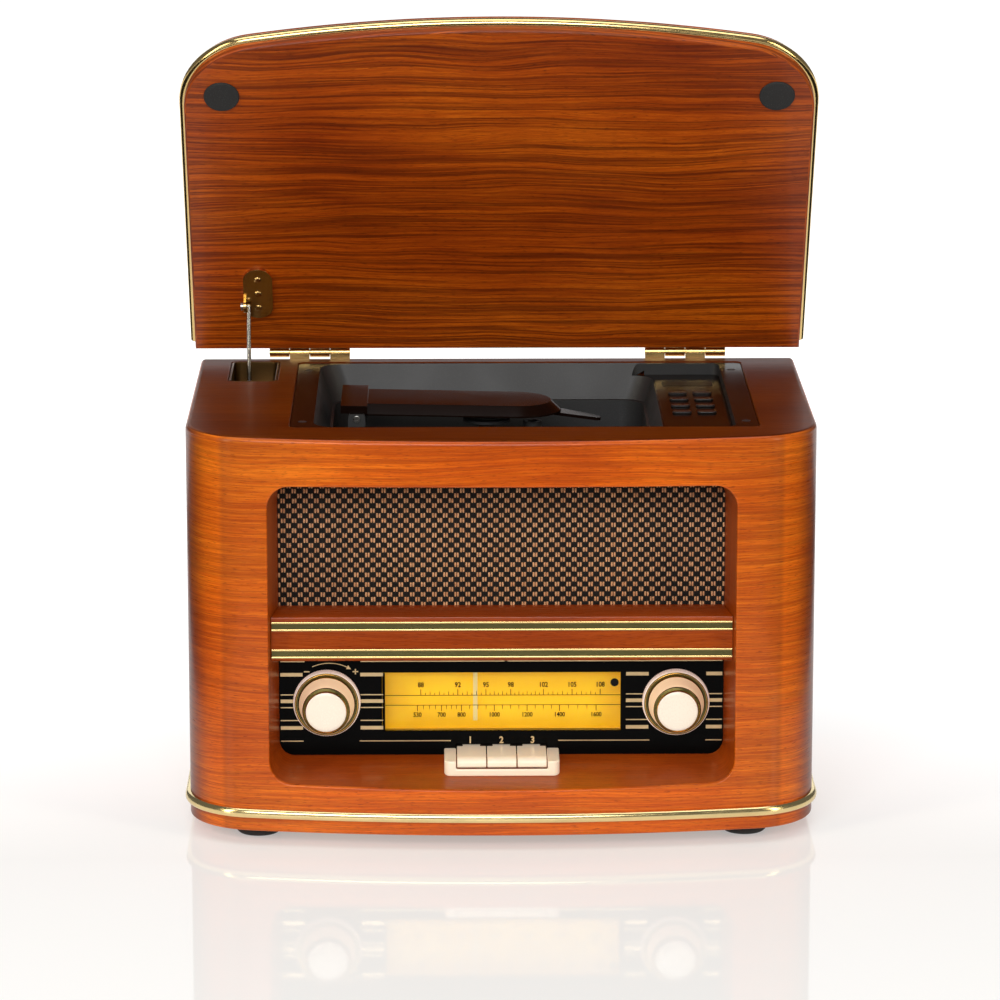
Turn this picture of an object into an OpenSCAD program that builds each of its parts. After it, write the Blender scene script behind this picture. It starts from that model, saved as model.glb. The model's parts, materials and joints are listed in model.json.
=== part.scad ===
// Stereo music centre: bowed wooden cabinet with a hinged lid over a disc player,
// a radio dial with two knobs and three keys, and a pair of speakers behind cloth.
// Millimetres, +Z up. The origin is under the middle of the bounding box, on the table.
// Inside each module Y is measured from the middle of the bowed front, towards the back.

/* [Cabinet] */
// Width of the cabinet over its sides
body_w = 360; // [348:1:420]
// Depth of the cabinet, from the middle of the bow to the back
body_d = 240; // [236:1:300]
// Height of the cabinet without its feet
body_h = 230; // [228:1:280]
// Thickness of the wooden walls
wall = 12; // [9:0.5:14]
// Radius of the bowed front
bow_r = 850; // [700:10:1200]
// Radius of the two front corners
corner_r = 42; // [34:1:48]
// Thickness of the bottom board
bottom_t = 10; // [8:0.5:14]
// Thickness of the rear cover
rear_t = 4; // [3:0.5:6]
// Clearance between parts that only lie beside each other
fit_gap = 0.3; // [0.2:0.05:0.4]

/* [Feet and base strip] */
// Height of the feet
foot_h = 8; // [6:0.5:14]
// Diameter of the feet
foot_d = 26; // [20:1:34]
// Distance of the feet's middles from the cabinet's sides
foot_side = 40; // [38:1:60]
// Distance of the front feet behind the bow
foot_front = 40; // [34:1:60]
// Height of the brass base strip
strip_h = 6; // [4:0.5:8]
// Height of the strip above the cabinet's lower edge
strip_z = 7.7; // [4:0.1:12]
// How far the strip stands out
strip_out = 3; // [2:0.25:4]

/* [Lid] */
// Thickness of the lid
lid_t = 16; // [12:0.5:20]
// Overhang of the wooden lid
lid_over = 3.2; // [2:0.1:4]
// Overhang of the brass moulding round the lid
moulding_out = 6.2; // [5:0.1:8]
// Height of the brass moulding
moulding_h = 6; // [4:0.5:8]
// Gap under the closed lid
lid_gap = 1.5; // [1.2:0.1:2.5]
// Opening angle of the lid as it stands
lid_open = 59.5; // [50:0.5:65]
// Distance of the hinge pin behind the cabinet
pin_back = 3.5; // [3.3:0.1:5]
// Height of the hinge pin above the cabinet
pin_up = 3.5; // [3.3:0.1:5]
// Outer diameter of the hinge knuckles
knuckle_d = 6; // [5:0.2:6.4]
// Diameter of the hinge pins
pin_d = 3; // [2:0.1:3.6]
// Length of each hinge
hinge_l = 49; // [36:1:60]
// Distance of the hinges' middles from the cabinet's sides
hinge_side = 66; // [50:1:90]
// Width of a hinge leaf
leaf_w = 12; // [8:0.5:13]
// Thickness of a hinge leaf
leaf_t = 1.4; // [1:0.1:2]
// Diameter of the rubber bumpers under the lid
bumper_d = 21; // [16:0.5:24]

/* [Lid stay] */
// Distance of the stay plate from the cabinet's left side
stay_side = 36; // [34:0.5:37]
// Width of the oval plate
stay_w = 17.5; // [15:0.5:18]
// Length of the oval plate
stay_l = 38; // [34:1:42]
// Distance of the plate's middle from the lid's rear edge
stay_mid = 46; // [42:0.5:50]
// Thickness of the plate
stay_t = 2; // [1.5:0.1:2.5]
// Distance of the rod's pivot from the lid's rear edge
pivot_back = 39; // [36:0.5:42]
// Drop of the pivot below the lid
pivot_drop = 5; // [4.5:0.1:6]
// Diameter of the stay rod
rod_d = 2.5; // [2:0.1:3]
// Length of the stay rod between its bent ends
rod_l = 78; // [70:1:84]
// Lean of the stay rod as the lid stands open
rod_tilt = 3; // [1:0.5:6]
// Share of the lid's turn that the rod makes
rod_turn = 0.23; // [0.15:0.01:0.3]

/* [Front] */
// Wood left at each side of the opening
open_side = 46; // [42:0.5:52]
// Lower edge of the opening, above the cabinet's lower edge
open_low = 26.8; // [24:0.2:30]
// Wood left above the opening
open_drop = 26.6; // [24:0.2:34]
// How much the lining narrows at each side, towards its inner end
inner_in = 6; // [4:0.5:10]
// Lower edge at the inner end
inner_low = 34.8; // [32:0.2:38]
// Drop of the inner end's upper edge below the cabinet's top
inner_drop = 33; // [30:0.5:40]
// Depth behind the bow of the lining's inner end
scoop_d = 48; // [40:0.5:56]
// Thickness of the lining
scoop_t = 2.5; // [2:0.1:3.2]
// Corner radius of the opening
scoop_r = 14; // [10:0.5:18]
// Corner radius at the inner end
inner_r = 9; // [6:0.5:12]
// Lower edge of the cross bar
bar_low = 98; // [96:0.2:102]
// Height of the cross bar
bar_h = 25.8; // [20:0.2:30]
// Depth of the bar's face behind the bow
bar_y = 20; // [12:0.5:26]
// Height of the brass strips on the bar
bar_strip_h = 5.2; // [3:0.2:7]
// Thickness of the brass strips on the bar
bar_strip_t = 1.2; // [0.8:0.1:2]

/* [Dial] */
// Thickness of the black dial panel
panel_t = 3; // [2:0.25:4]
// Distance from a knob's axis to the dial window
window_side = 31.8; // [28:0.1:40]
// Lower edge of the dial window
window_low = 49; // [47:0.5:52]
// Upper edge of the dial window
window_top = 83.7; // [78:0.5:86]
// Thickness of the dial glass
glass_t = 2; // [1.5:0.1:3]
// Distance of the knobs' axes from the opening's sides
knob_side = 33.5; // [30:0.5:36]
// Height of the knobs
knob_z = 66.5; // [62:0.5:70]
// Diameter of the knurled ring
knob_d = 39; // [32:0.5:42]
// Diameter of the knob's cap
cap_d = 23; // [18:0.5:25]
// Length of a knob
knob_l = 23.5; // [20:0.5:26]
// Diameter of the knob shafts
shaft_d = 6; // [5:0.1:8]
// Radial running clearance of the shafts
run_gap = 0.08; // [0.05:0.01:0.1]
// Place of the pointer at rest, from the centre line
pointer_x = -15; // [-20:0.5:20]
// Travel of the pointer to each side of the middle
pointer_run = 52; // [44:0.5:54]
// Width of the pointer
pointer_w = 2.6; // [1.6:0.1:4]
// Diameter of the tuning drum
drum_d = 22; // [18:0.5:26]

/* [Keys] */
// Width of a key
key_w = 16.6; // [14:0.1:17]
// Pitch of the keys
key_pitch = 17.3; // [17.1:0.1:18]
// Height of the keys' tops above the cabinet's lower edge
key_top = 40.2; // [39.6:0.1:41]
// Depth of the keys' fronts behind the bow
key_y = 20.6; // [20.2:0.1:22]
// Height of a key's front
key_h = 5.6; // [4.5:0.1:6]
// Turn of a pressed key
key_turn = 4; // [2:0.5:5]
// Width of the key surround
surround_w = 66; // [62:0.5:72]
// Height of the surround's cheeks above the cabinet's lower edge
surround_top = 38.8; // [38:0.1:39.4]
// Depth of the surround's lip behind the bow
surround_y = 18.8; // [17:0.1:19]

/* [Speakers] */
// Distance of the speakers' axes from the opening's sides
speaker_side = 60; // [50:1:72]
// Board left under a speaker
speaker_under = 11; // [9:0.5:14]
// Board left above a speaker
speaker_over = 5; // [4:0.5:9]
// Thickness of the baffle board
baffle_t = 6; // [4:0.5:9]
// Thickness of the grille cloth
cloth_t = 1; // [0.8:0.1:1.5]

/* [Deck] */
// Distance of the deck tray from the cabinet's left side
deck_left = 60; // [56:0.5:64]
// Distance of the deck tray from the cabinet's right side
deck_right = 33.5; // [30:0.5:38]
// Front edge of the deck tray
tray_front = 40; // [38:0.5:44]
// Wood left behind the deck tray
tray_behind = 11; // [9.5:0.5:16]
// Width of the tray's side flanges
flange_w = 13; // [11:0.5:15]
// Thickness of the tray's walls
tray_t = 2.5; // [2:0.1:3]
// Depth of the upper ledge
ledge_depth = 21; // [19:0.5:22]
// Depth of the well's floor
well_depth = 38; // [36:0.5:42]
// Distance of the well from the tray's left edge
well_in_left = 22; // [21:0.5:25]
// Distance of the well from the tray's right edge
well_in_right = 59.5; // [59:0.5:63]
// Front edge of the well
well_front = 63; // [62:0.5:66]
// Wood and ledge left behind the well
well_behind = 24; // [22:0.5:30]
// Corner radius of the well
well_r = 14; // [8:0.5:18]
// Width of the raised platform, with the flange
platform_w = 53.2; // [51:0.2:54]
// Depth of the platform's top
platform_depth = 7.5; // [6.5:0.1:8.5]
// Lean of the basin's moulded walls, in degrees
draft = 20; // [8:1:22]
// Distance of the control panel from the tray's back edge
panel_behind = 22.5; // [18:0.5:28]

/* [Controls on the deck] */
// Diameter of a button's long way
button_l = 11; // [9:0.5:12]
// Width of a button
button_w = 5; // [4:0.25:6]
// Pitch between the two columns
button_dx = 14.5; // [13:0.25:16]
// Pitch between the rows
button_dy = 18.5; // [16:0.25:20]
// Distance of the last row from the display
button_back = 23; // [16:0.5:26]
// Distance of the middle between the columns from the tray's right edge
button_side = 33.5; // [31.5:0.5:35.5]
// Travel of a button
button_travel = 1; // [0.5:0.1:1.5]
// Height of the buttons over the panel
button_up = 1.2; // [1.1:0.1:2]

/* [Disc player] */
// Place of the spindle, right of the well's middle
spindle_right = -2; // [-4:0.5:2]
// Place of the spindle behind the well's middle
spindle_behind = 8; // [4:0.5:10]
// Diameter of the spindle's hub
hub_d = 28; // [24:0.5:32]
// Width of the cover's tongue
cover_w = 55; // [50:0.5:58]
// Width of the tongue's bevelled edge
cover_bevel = 6; // [3:0.25:7]
// Reach of the tongue's round end past the spindle
cover_end = 16.5; // [12:0.5:20]
// Depth of the cover's top below the cabinet's top
cover_depth = 4; // [3:0.25:5]
// Thickness of the cover
cover_t = 6; // [5:0.25:6.5]
// Slope of the closed cover, down to the right, in degrees
cover_lean = 1.2; // [0:0.1:1.5]
// Distance of the cover's hinge pin from the well's left edge
pin_in = 14.5; // [13:0.5:18.5]
// Distance of the finger tab's end from the well's right edge
tab_in = 26.5; // [18:0.5:32]
// Diameter of the cover's hinge pin
cover_pin_d = 4; // [3:0.1:5]
// Travel of the laser sled, outwards
sled_travel = 24; // [18:0.5:25]

/* [Hidden] */
// Places that follow from the cabinet's size
foot_x = body_w / 2 - foot_side;
hinge_x = body_w / 2 - hinge_side;
stay_x = body_w / 2 - stay_side;
open_x = body_w / 2 - open_side;
open_top = body_h - open_drop;
inner_x = open_x - inner_in;
inner_top = body_h - inner_drop;
knob_x = open_x - knob_side;
window_x = knob_x - window_side;
tray_left = body_w / 2 - deck_left;
tray_right = body_w / 2 - deck_right;
well_left = tray_left - well_in_left;
well_right = tray_right - well_in_right;
well_back = body_d - well_behind;
platform_x = tray_right - platform_w;
button_x = tray_right - button_side;
spindle_x = (well_right - well_left) / 2 + spindle_right;
spindle_y = (well_front + well_back) / 2 + spindle_behind;
tab_end = well_right - tab_in;
baffle_low = bar_low + bar_h / 2;
speaker_x = open_x - speaker_side;
speaker_d = inner_top - baffle_low - speaker_under - speaker_over;
speaker_z = baffle_low + speaker_under + speaker_d / 2;

$fn = 64;

// Overlap of cutting shapes past a face
cut = 1;
// Colours
wood = [0.72, 0.30, 0.10];
dark_wood = [0.50, 0.16, 0.05];
brass = [0.80, 0.62, 0.28];
black = [0.07, 0.07, 0.08];
grey = [0.22, 0.23, 0.24];
cream = [0.93, 0.87, 0.74];
steel = [0.70, 0.71, 0.72];

top_z = foot_h + body_h;
floor_z = foot_h + bottom_t;

// Centre of a front corner's arc, and where it runs into the bow
corner_x = body_w / 2 - corner_r;
corner_y = bow_r - sqrt(pow(bow_r - corner_r, 2) - pow(corner_x, 2));
corner_lap = 0.02;

// The lid turns about the hinge pin
pin_y = body_d + pin_back;
pin_z = top_z + pin_up;
lid_rear = 0.7;
lid_low = top_z + lid_gap;
lid_high = lid_low + lid_t;
lid_reach = (lid_high - pin_z) * sin(lid_open) - (pin_y - body_d + lid_rear) * cos(lid_open);

// The origin lies under the middle of the box round the open cabinet
back_reach = pin_y + lid_reach;
origin_back = (back_reach - strip_out) / 2;

module at_origin() { translate([0, -origin_back, 0]) children(); }

// The lid's parts are drawn closed, then turned open about the hinge pin
module on_lid() {
    at_origin()
        translate([0, pin_y, pin_z]) rotate([-lid_open, 0, 0]) translate([0, -pin_y, -pin_z])
            children();
}

module both_sides() {
    children();
    mirror([1, 0, 0]) children();
}

// Bowed outline of the cabinet, larger by grow, cut off square at the back
module plan(grow, back) {
    half = body_w / 2 + grow;
    reach = corner_x * (bow_r + grow) / (bow_r - corner_r);
    translate([-half, corner_y]) square([2 * half, back - corner_y]);
    for (x = [-1, 1])
        translate([x * corner_x, corner_y]) circle(corner_r + grow + corner_lap, $fn = 96);
    intersection() {
        translate([0, bow_r]) circle(bow_r + grow, $fn = 360);
        translate([-reach, -wall]) square([2 * reach, wall + back]);
    }
}

module slab(low, high) { translate([0, 0, low]) linear_extrude(high - low) children(); }

module rounded(w, l, r) {
    translate([r - w / 2, -l / 2]) square([w - 2 * r, l]);
    translate([-w / 2, r - l / 2]) square([w, l - 2 * r]);
    for (x = [-1, 1], y = [-1, 1]) translate([x * (w / 2 - r), y * (l / 2 - r)]) circle(r);
}

module rounded_box(x0, x1, y0, y1, z0, z1, r) {
    translate([(x0 + x1) / 2, (y0 + y1) / 2, z0])
        linear_extrude(z1 - z0) rounded(x1 - x0, y1 - y0, r);
}

module box(x0, x1, y0, y1, z0, z1) {
    translate([x0, y0, z0]) cube([x1 - x0, y1 - y0, z1 - z0]);
}

// Rod or disc along Y, from y0 to y1
module along_y(x, z, d, y0, y1) {
    translate([x, y0, z]) rotate([-90, 0, 0]) cylinder(d = d, h = y1 - y0);
}

// Rod or disc along X, from x0 to x1
module along_x(y, z, d, x0, x1) {
    translate([x0, y, z]) rotate([0, 90, 0]) cylinder(d = d, h = x1 - x0);
}

// A turned part along Y: points are [radius, distance in front of the foot]
module turned(x, z, y, points) {
    translate([x, y, z]) rotate([90, 0, 0]) rotate_extrude($fn = 96) polygon(points);
}

// Front opening: a rounded rectangle that narrows towards the back
slice_t = 0.2;
lining_front = -4;
taper = (open_x - inner_x) / scoop_d;
taper_low = (inner_low - open_low) / scoop_d;
taper_top = (open_top - inner_top) / scoop_d;

module opening_slice(y, grow, r) {
    x = open_x - taper * y + grow;
    low = foot_h + open_low + taper_low * y - grow;
    high = foot_h + open_top - taper_top * y + grow;
    translate([0, y, (low + high) / 2]) rotate([-90, 0, 0])
        linear_extrude(slice_t) rounded(2 * x, high - low, r + grow, $fn = 32);
}

module opening_form(grow, from_y, to_y) {
    hull() {
        opening_slice(from_y, grow, scoop_r);
        opening_slice(to_y - slice_t, grow, inner_r);
    }
}

// The deck tray's outline in the cabinet's top
tray_back = body_d - tray_behind;
tray_corner = 4;
tray_gap = 0.4;
flange_t = 2;

// The pocket in the cabinet's top that takes the stay when the lid is closed
pocket_side = 19.5;
pocket_w = 28.5;
pocket_l = 61;
pocket_rear = 7;
pocket_left = pocket_side - body_w / 2;
pocket_right = pocket_left + pocket_w;
pocket_front = body_d - pocket_rear - pocket_l;
pocket_wall = 1.2;
pocket_floor = 15;
pocket_r = 5;

// Rear cover, let into the back
rear_in = body_d - rear_t;
cleat_t = 8;
cleat_l = 20;
cleat_in = 0.5;
// Wood that covers the lining's front edge
lip_t = 2;

module cabinet_body() {
    // Blocks in the corners that the rear cover is screwed to, let into the walls
    color(wood) at_origin() for (x = [-1, 1], z = rear_screw_z) difference() {
        translate([x * cleat_in, 0, 0]) box(x * rear_screw_x - cleat_t, x * rear_screw_x + cleat_t,
            rear_in - cleat_l, rear_in - 0.02, z - cleat_t, z + cleat_t);
        along_y(x * rear_screw_x, z, screw_d, rear_in - cleat_l + 6, body_d);
    }
    color(wood) at_origin() difference() {
        slab(foot_h, top_z) plan(0, body_d);
        slab(foot_h - cut, top_z - wall) plan(-wall, body_d + cut);
        opening_form(0, lining_front, scoop_d + 6);
        intersection() {
            opening_form(scoop_t + fit_gap, lining_front, scoop_d + 6);
            slab(foot_h, top_z) plan(-lip_t, body_d);
        }
        rounded_box(-tray_left - tray_gap, tray_right + tray_gap, tray_front - tray_gap,
            tray_back + tray_gap, top_z - flange_sink - flange_t - 0.02, top_z + cut, tray_corner);
        rounded_box(basin_left - tray_t - tray_gap, basin_right + tray_t + tray_gap,
            tray_front - tray_gap, tray_back + tray_gap, top_z - wall - cut, top_z + cut, tray_corner);
        rounded_box(pocket_left - fit_gap, pocket_right + fit_gap, pocket_front - fit_gap,
            body_d - pocket_rear + fit_gap, top_z - wall - cut, top_z + cut, pocket_r);
    }
}

lining_flange = 6;
lining_flange_t = 2;

module front_lining() {
    color(dark_wood) at_origin() difference() {
        union() {
            intersection() {
                opening_form(scoop_t, lining_front, scoop_d);
                slab(foot_h, top_z) plan(-lip_t - 0.02, body_d);
            }
            box(-inner_x - lining_flange, inner_x + lining_flange,
                scoop_d - lining_flange_t, scoop_d, foot_h + inner_low - lining_flange,
                foot_h + inner_top + lining_flange - 2);
        }
        opening_form(0, lining_front - cut, scoop_d + cut);
    }
}

vent_n = 12;
vent_w = 4;
vent_pitch = 9;
vent_l = 60;

module bottom_board() {
    color(dark_wood) at_origin() difference() {
        slab(foot_h, floor_z) plan(-wall - fit_gap, rear_in - fit_gap);
        for (x = [-1, 1], y = [foot_front, foot_rear])
            translate([x * foot_x, y, foot_h - cut]) cylinder(d = screw_d, h = bottom_t + 2 * cut);
        for (i = [0 : vent_n - 1])
            translate([(i - (vent_n - 1) / 2) * vent_pitch, body_d * 0.62, foot_h - cut])
                linear_extrude(bottom_t + 2 * cut) rounded(vent_w, vent_l, vent_w / 2 - 0.05);
    }
}

screw_d = 3;
screw_head_d = 6.4;
foot_rear = body_d - 34;
foot_recess = 3;
foot_chamfer = 1.5;

module feet() {
    color(black) at_origin()
        for (x = [-1, 1], y = [foot_front, foot_rear])
            translate([x * foot_x, y, 0]) rotate_extrude()
                polygon([[screw_d / 2, foot_recess], [screw_head_d / 2 + 1, foot_recess],
                    [screw_head_d / 2 + 1, 0], [foot_d / 2 - foot_chamfer, 0],
                    [foot_d / 2, foot_chamfer], [foot_d / 2 - 0.6, foot_h], [screw_d / 2, foot_h]]);
}

// Pan-head wood screw, its head's underside at the origin, pointing along +Z
module screw(length) {
    difference() {
        rotate_extrude($fn = 32) polygon([[0, -2], [screw_head_d / 2 - 1.2, -2],
            [screw_head_d / 2, -0.9], [screw_head_d / 2, 0], [screw_d / 2 - 0.05, 0],
            [screw_d / 2 - 0.05, length - 2], [0, length]]);
        for (a = [0, 90]) rotate([0, 0, a]) translate([-1.8, -0.35, -2.5]) cube([3.6, 0.7, 1.4]);
    }
}

rear_screw_x = body_w / 2 - wall - cleat_t;
rear_screw_z = [floor_z + fit_gap + cleat_t, top_z - pocket_floor - fit_gap - cleat_t];
deck_screw_left = (tray_left + tray_left - flange_w) / 2;
deck_screw_right = (tray_right + tray_right - flange_w) / 2;
deck_screw_ys = [tray_front + 18, tray_back - 22];

module cabinet_screws() {
    color(steel) at_origin() {
        for (x = [-1, 1], y = [foot_front, foot_rear])
            translate([x * foot_x, y, foot_recess]) screw(foot_h - foot_recess + bottom_t - 2);
        for (y = deck_screw_ys) {
            translate([-deck_screw_left, y, top_z - flange_sink + 0.02]) rotate([180, 0, 0]) deck_screw();
            translate([deck_screw_right, y, top_z - flange_sink + 0.02]) rotate([180, 0, 0]) deck_screw();
        }
        for (x = [-1, 1], z = rear_screw_z)
            translate([x * rear_screw_x, body_d + 0.02, z]) rotate([90, 0, 0]) screw(rear_t + 9);
    }
}

// Flat-head screw sunk in the tray's flange
module deck_screw() {
    difference() {
        rotate_extrude($fn = 32) polygon([[0, 0], [2.5, 0], [1.2, 1.3], [1.2, 1.8], [0, 1.8]]);
        translate([-1.9, -0.3, -cut]) cube([3.8, 0.6, cut + 0.6]);
    }
}

module base_strip() {
    color(brass) at_origin() slab(foot_h + strip_z, foot_h + strip_z + strip_h) difference() {
        plan(strip_out, body_d);
        plan(0.02, body_d + cut);
    }
}

// Back cover with its vents and the mains inlet's hole
back_vent_n = 14;
back_vent_w = 3;
back_vent_pitch = 7.5;
back_vent_l = 62;
inlet_x = -95;
inlet_z = foot_h + 42;
inlet_w = 27;
inlet_h = 20;
rear_half = body_w / 2 - wall - fit_gap;

module rear_cover() {
    color(black) at_origin() difference() {
        box(-rear_half, rear_half, rear_in, body_d, foot_h + 0.3, top_z - wall - fit_gap);
        for (row = [0.36, 0.68], i = [0 : back_vent_n - 1])
            translate([(i - (back_vent_n - 1) / 2) * back_vent_pitch + 20, rear_in - cut,
                foot_h + body_h * row]) rotate([-90, 0, 0])
                linear_extrude(rear_t + 2 * cut) rounded(back_vent_w, back_vent_l, 1.4);
        box(inlet_x - inlet_w / 2, inlet_x + inlet_w / 2, rear_in - cut, body_d + cut,
            inlet_z - inlet_h / 2, inlet_z + inlet_h / 2);
        for (x = [-1, 1], z = rear_screw_z)
            along_y(x * rear_screw_x, z, screw_d + 0.2, rear_in - cut, body_d + cut);
    }
}

// Butt hinges: knuckles in turn on the cabinet's leaf and on the lid's
knuckle_n = 4;
knuckle_l = hinge_l / knuckle_n;
knuckle_gap = 0.15;
leaf_low = 2;

module knuckles(first) {
    for (i = [first : 2 : knuckle_n - 1])
        difference() {
            along_x(pin_y, pin_z, knuckle_d, -hinge_l / 2 + i * knuckle_l + knuckle_gap,
                -hinge_l / 2 + (i + 1) * knuckle_l - knuckle_gap);
            along_x(pin_y, pin_z, pin_d + 2 * run_gap, -hinge_l, hinge_l);
        }
}

module hinge_leaves_body() {
    color(brass) at_origin() both_sides() translate([hinge_x, 0, 0]) difference() {
        union() {
            knuckles(0);
            for (i = [0 : 2 : knuckle_n - 1])
                box(-hinge_l / 2 + i * knuckle_l + knuckle_gap,
                    -hinge_l / 2 + (i + 1) * knuckle_l - knuckle_gap,
                    body_d + 0.02, body_d + 0.02 + leaf_t, top_z - 4, pin_z);
            box(-hinge_l / 2, hinge_l / 2, body_d + 0.02, body_d + 0.02 + leaf_t,
                top_z - leaf_w, top_z - leaf_low);
        }
        along_x(pin_y, pin_z, pin_d + 2 * run_gap, -hinge_l, hinge_l);
        for (i = [-1, 0, 1])
            along_y(i * hinge_l / 3, top_z - leaf_w / 2 - 1, 2.6, body_d - cut, body_d + 4);
    }
}

module hinge_leaves_lid() {
    color(brass) on_lid() both_sides() translate([hinge_x, 0, 0]) difference() {
        union() {
            knuckles(1);
            for (i = [1 : 2 : knuckle_n - 1])
                box(-hinge_l / 2 + i * knuckle_l + knuckle_gap,
                    -hinge_l / 2 + (i + 1) * knuckle_l - knuckle_gap,
                    leaf_face, leaf_face + leaf_t, pin_z, pin_z + 4);
            box(-hinge_l / 2, hinge_l / 2, leaf_face, leaf_face + leaf_t,
                pin_z + leaf_low, lid_low + leaf_w);
        }
        along_x(pin_y, pin_z, pin_d + 2 * run_gap, -hinge_l, hinge_l);
        for (i = [-1, 0, 1])
            along_y(i * hinge_l / 3, pin_z + leaf_low + 5, 2.6, body_d - 4, body_d + 4);
    }
}

// The lid's leaf lies in a shallow recess of the lid's rear edge
leaf_face = body_d - lid_rear + 0.02;

module hinge_pins() {
    color(brass) at_origin() both_sides()
        along_x(pin_y, pin_z, pin_d, hinge_x - hinge_l / 2, hinge_x + hinge_l / 2);
}

module lid_panel() {
    color(wood) on_lid() difference() {
        slab(lid_low, lid_high) plan(lid_over, body_d - lid_rear);
        slab((lid_low + lid_high - moulding_h) / 2, (lid_low + lid_high + moulding_h) / 2)
            difference() {
                plan(lid_over + cut, body_d + cut);
                plan(lid_over - moulding_in, body_d + 2 * cut);
            }
        for (i = plate_screws)
            translate([-stay_x, plate_y + i, lid_low - cut]) cylinder(d = 2.4, h = 8 + cut);
    }
}

moulding_in = 1;
moulding_r = moulding_h / 2;

// Half-round brass moulding let into the lid's edge, round the front and both sides
module lid_moulding() {
    mid = (lid_low + lid_high) / 2;
    steps = 4;
    flat = moulding_out - moulding_r;
    color(brass) on_lid() for (i = [0 : steps - 1]) {
        half = moulding_r * cos(90 * i / steps) - (i == 0 ? 0.02 : 0);
        from_r = i == 0 ? lid_over - moulding_in + 0.02
            : flat + moulding_r * sin(90 * i / steps) - 0.01;
        slab(mid - half, mid + half) difference() {
            plan(flat + moulding_r * sin(90 * (i + 1) / steps), body_d - lid_rear - 2);
            plan(from_r, body_d + cut);
        }
    }
}

bumper_side = 19;
bumper_front = 43.8;
bumper_t = 1.2;

module lid_bumpers() {
    color(black) on_lid() both_sides()
        translate([body_w / 2 - bumper_side, bumper_front, lid_low]) rotate([180, 0, 0])
            rotate_extrude() polygon([[0, 0.02], [bumper_d / 2, 0.02],
                [bumper_d / 2 - 0.5, bumper_t], [0, bumper_t]]);
}

// Oval plate screwed under the lid, with the ear that holds the stay rod's pivot
plate_y = body_d - lid_rear - stay_mid;
pivot_y = body_d - lid_rear - pivot_back;
pivot_z = lid_low - pivot_drop;
ear_x = -stay_x - stay_w / 2;
ear_t = 1.5;
ear_r = 4;
pivot_pin_d = 2.6;
plate_screws = [-11, 0, 11];

module stay_bracket() {
    color(brass) on_lid() difference() {
        union() {
            translate([-stay_x, plate_y, lid_low - stay_t - 0.02])
                linear_extrude(stay_t) rounded(stay_w, stay_l, stay_w / 2 - 0.05);
            box(ear_x, ear_x + ear_t, pivot_y - ear_r, pivot_y + ear_r, pivot_z,
                lid_low - 0.02);
            along_x(pivot_y, pivot_z, 2 * ear_r, ear_x, ear_x + ear_t);
        }
        along_x(pivot_y, pivot_z, pivot_pin_d, ear_x - cut, ear_x + ear_t + cut);
        for (i = plate_screws)
            translate([-stay_x, plate_y + i, lid_low - stay_t - cut]) cylinder(d = 2.4, h = stay_t + 2 * cut);
    }
}

module lid_screws() {
    color(brass) on_lid() for (i = plate_screws)
        translate([-stay_x, plate_y + i, lid_low - stay_t - 0.04]) rotate_extrude($fn = 32)
            polygon([[0, -0.9], [1.5, -0.7], [2.3, 0], [1.1, 0], [1.1, 6], [0, 7.5]]);
}

// Where the rod's two ends are at an opening angle of the lid
function pivot_at(a) = [pin_y + (pivot_y - pin_y) * cos(a) + (pivot_z - pin_z) * sin(a),
    pin_z - (pivot_y - pin_y) * sin(a) + (pivot_z - pin_z) * cos(a)];
function tilt_at(a) = rod_tilt - rod_turn * (lid_open - a);
function foot_at(a) = pivot_at(a) - rod_l * [sin(tilt_at(a)), cos(tilt_at(a))];
open_pivot = pivot_at(lid_open);
rod_foot = foot_at(lid_open);
rod_x = ear_x + ear_t + fit_gap + rod_d / 2;
rod_end = 5;
pin_head = 1.4;
bend_d = rod_d + 0.1;

module stay_rod() {
    color(steel) at_origin() {
        translate([rod_x, open_pivot[0], open_pivot[1]]) rotate([-rod_tilt, 0, 0]) {
            translate([0, 0, -rod_l]) cylinder(d = rod_d, h = rod_l, $fn = 32);
            sphere(d = bend_d, $fn = 32);
            translate([0, 0, -rod_l]) sphere(d = bend_d, $fn = 32);
        }
        along_x(open_pivot[0], open_pivot[1], pivot_pin_d - 2 * run_gap, ear_x - fit_gap, rod_x);
        along_x(open_pivot[0], open_pivot[1], 5, ear_x - fit_gap - pin_head, ear_x - fit_gap);
        along_x(rod_foot[0], rod_foot[1], rod_d - 0.1, rod_x, rod_x + rod_end);
    }
}

// Metal pocket let into the top, with a slot in its floor for the rod
module stay_pocket() {
    back = body_d - pocket_rear;
    color(grey) at_origin() difference() {
        rounded_box(pocket_left, pocket_right, pocket_front, back,
            top_z - pocket_floor, top_z - 0.1, pocket_r);
        rounded_box(pocket_left + pocket_wall, pocket_right - pocket_wall,
            pocket_front + pocket_wall, back - pocket_wall,
            top_z - pocket_floor + pocket_wall, top_z + cut, pocket_r - pocket_wall);
        box(rod_x - rod_slot / 2, rod_x + rod_slot / 2, slot_y - rod_sway, slot_y + rod_sway,
            top_z - pocket_floor - cut, top_z - pocket_floor + pocket_wall + cut);
    }
}

rod_slot = rod_d + 4;
rod_sway = 9;
slot_y = (open_pivot[0] + pivot_at(0)[0]) / 2 + 1;

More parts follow.
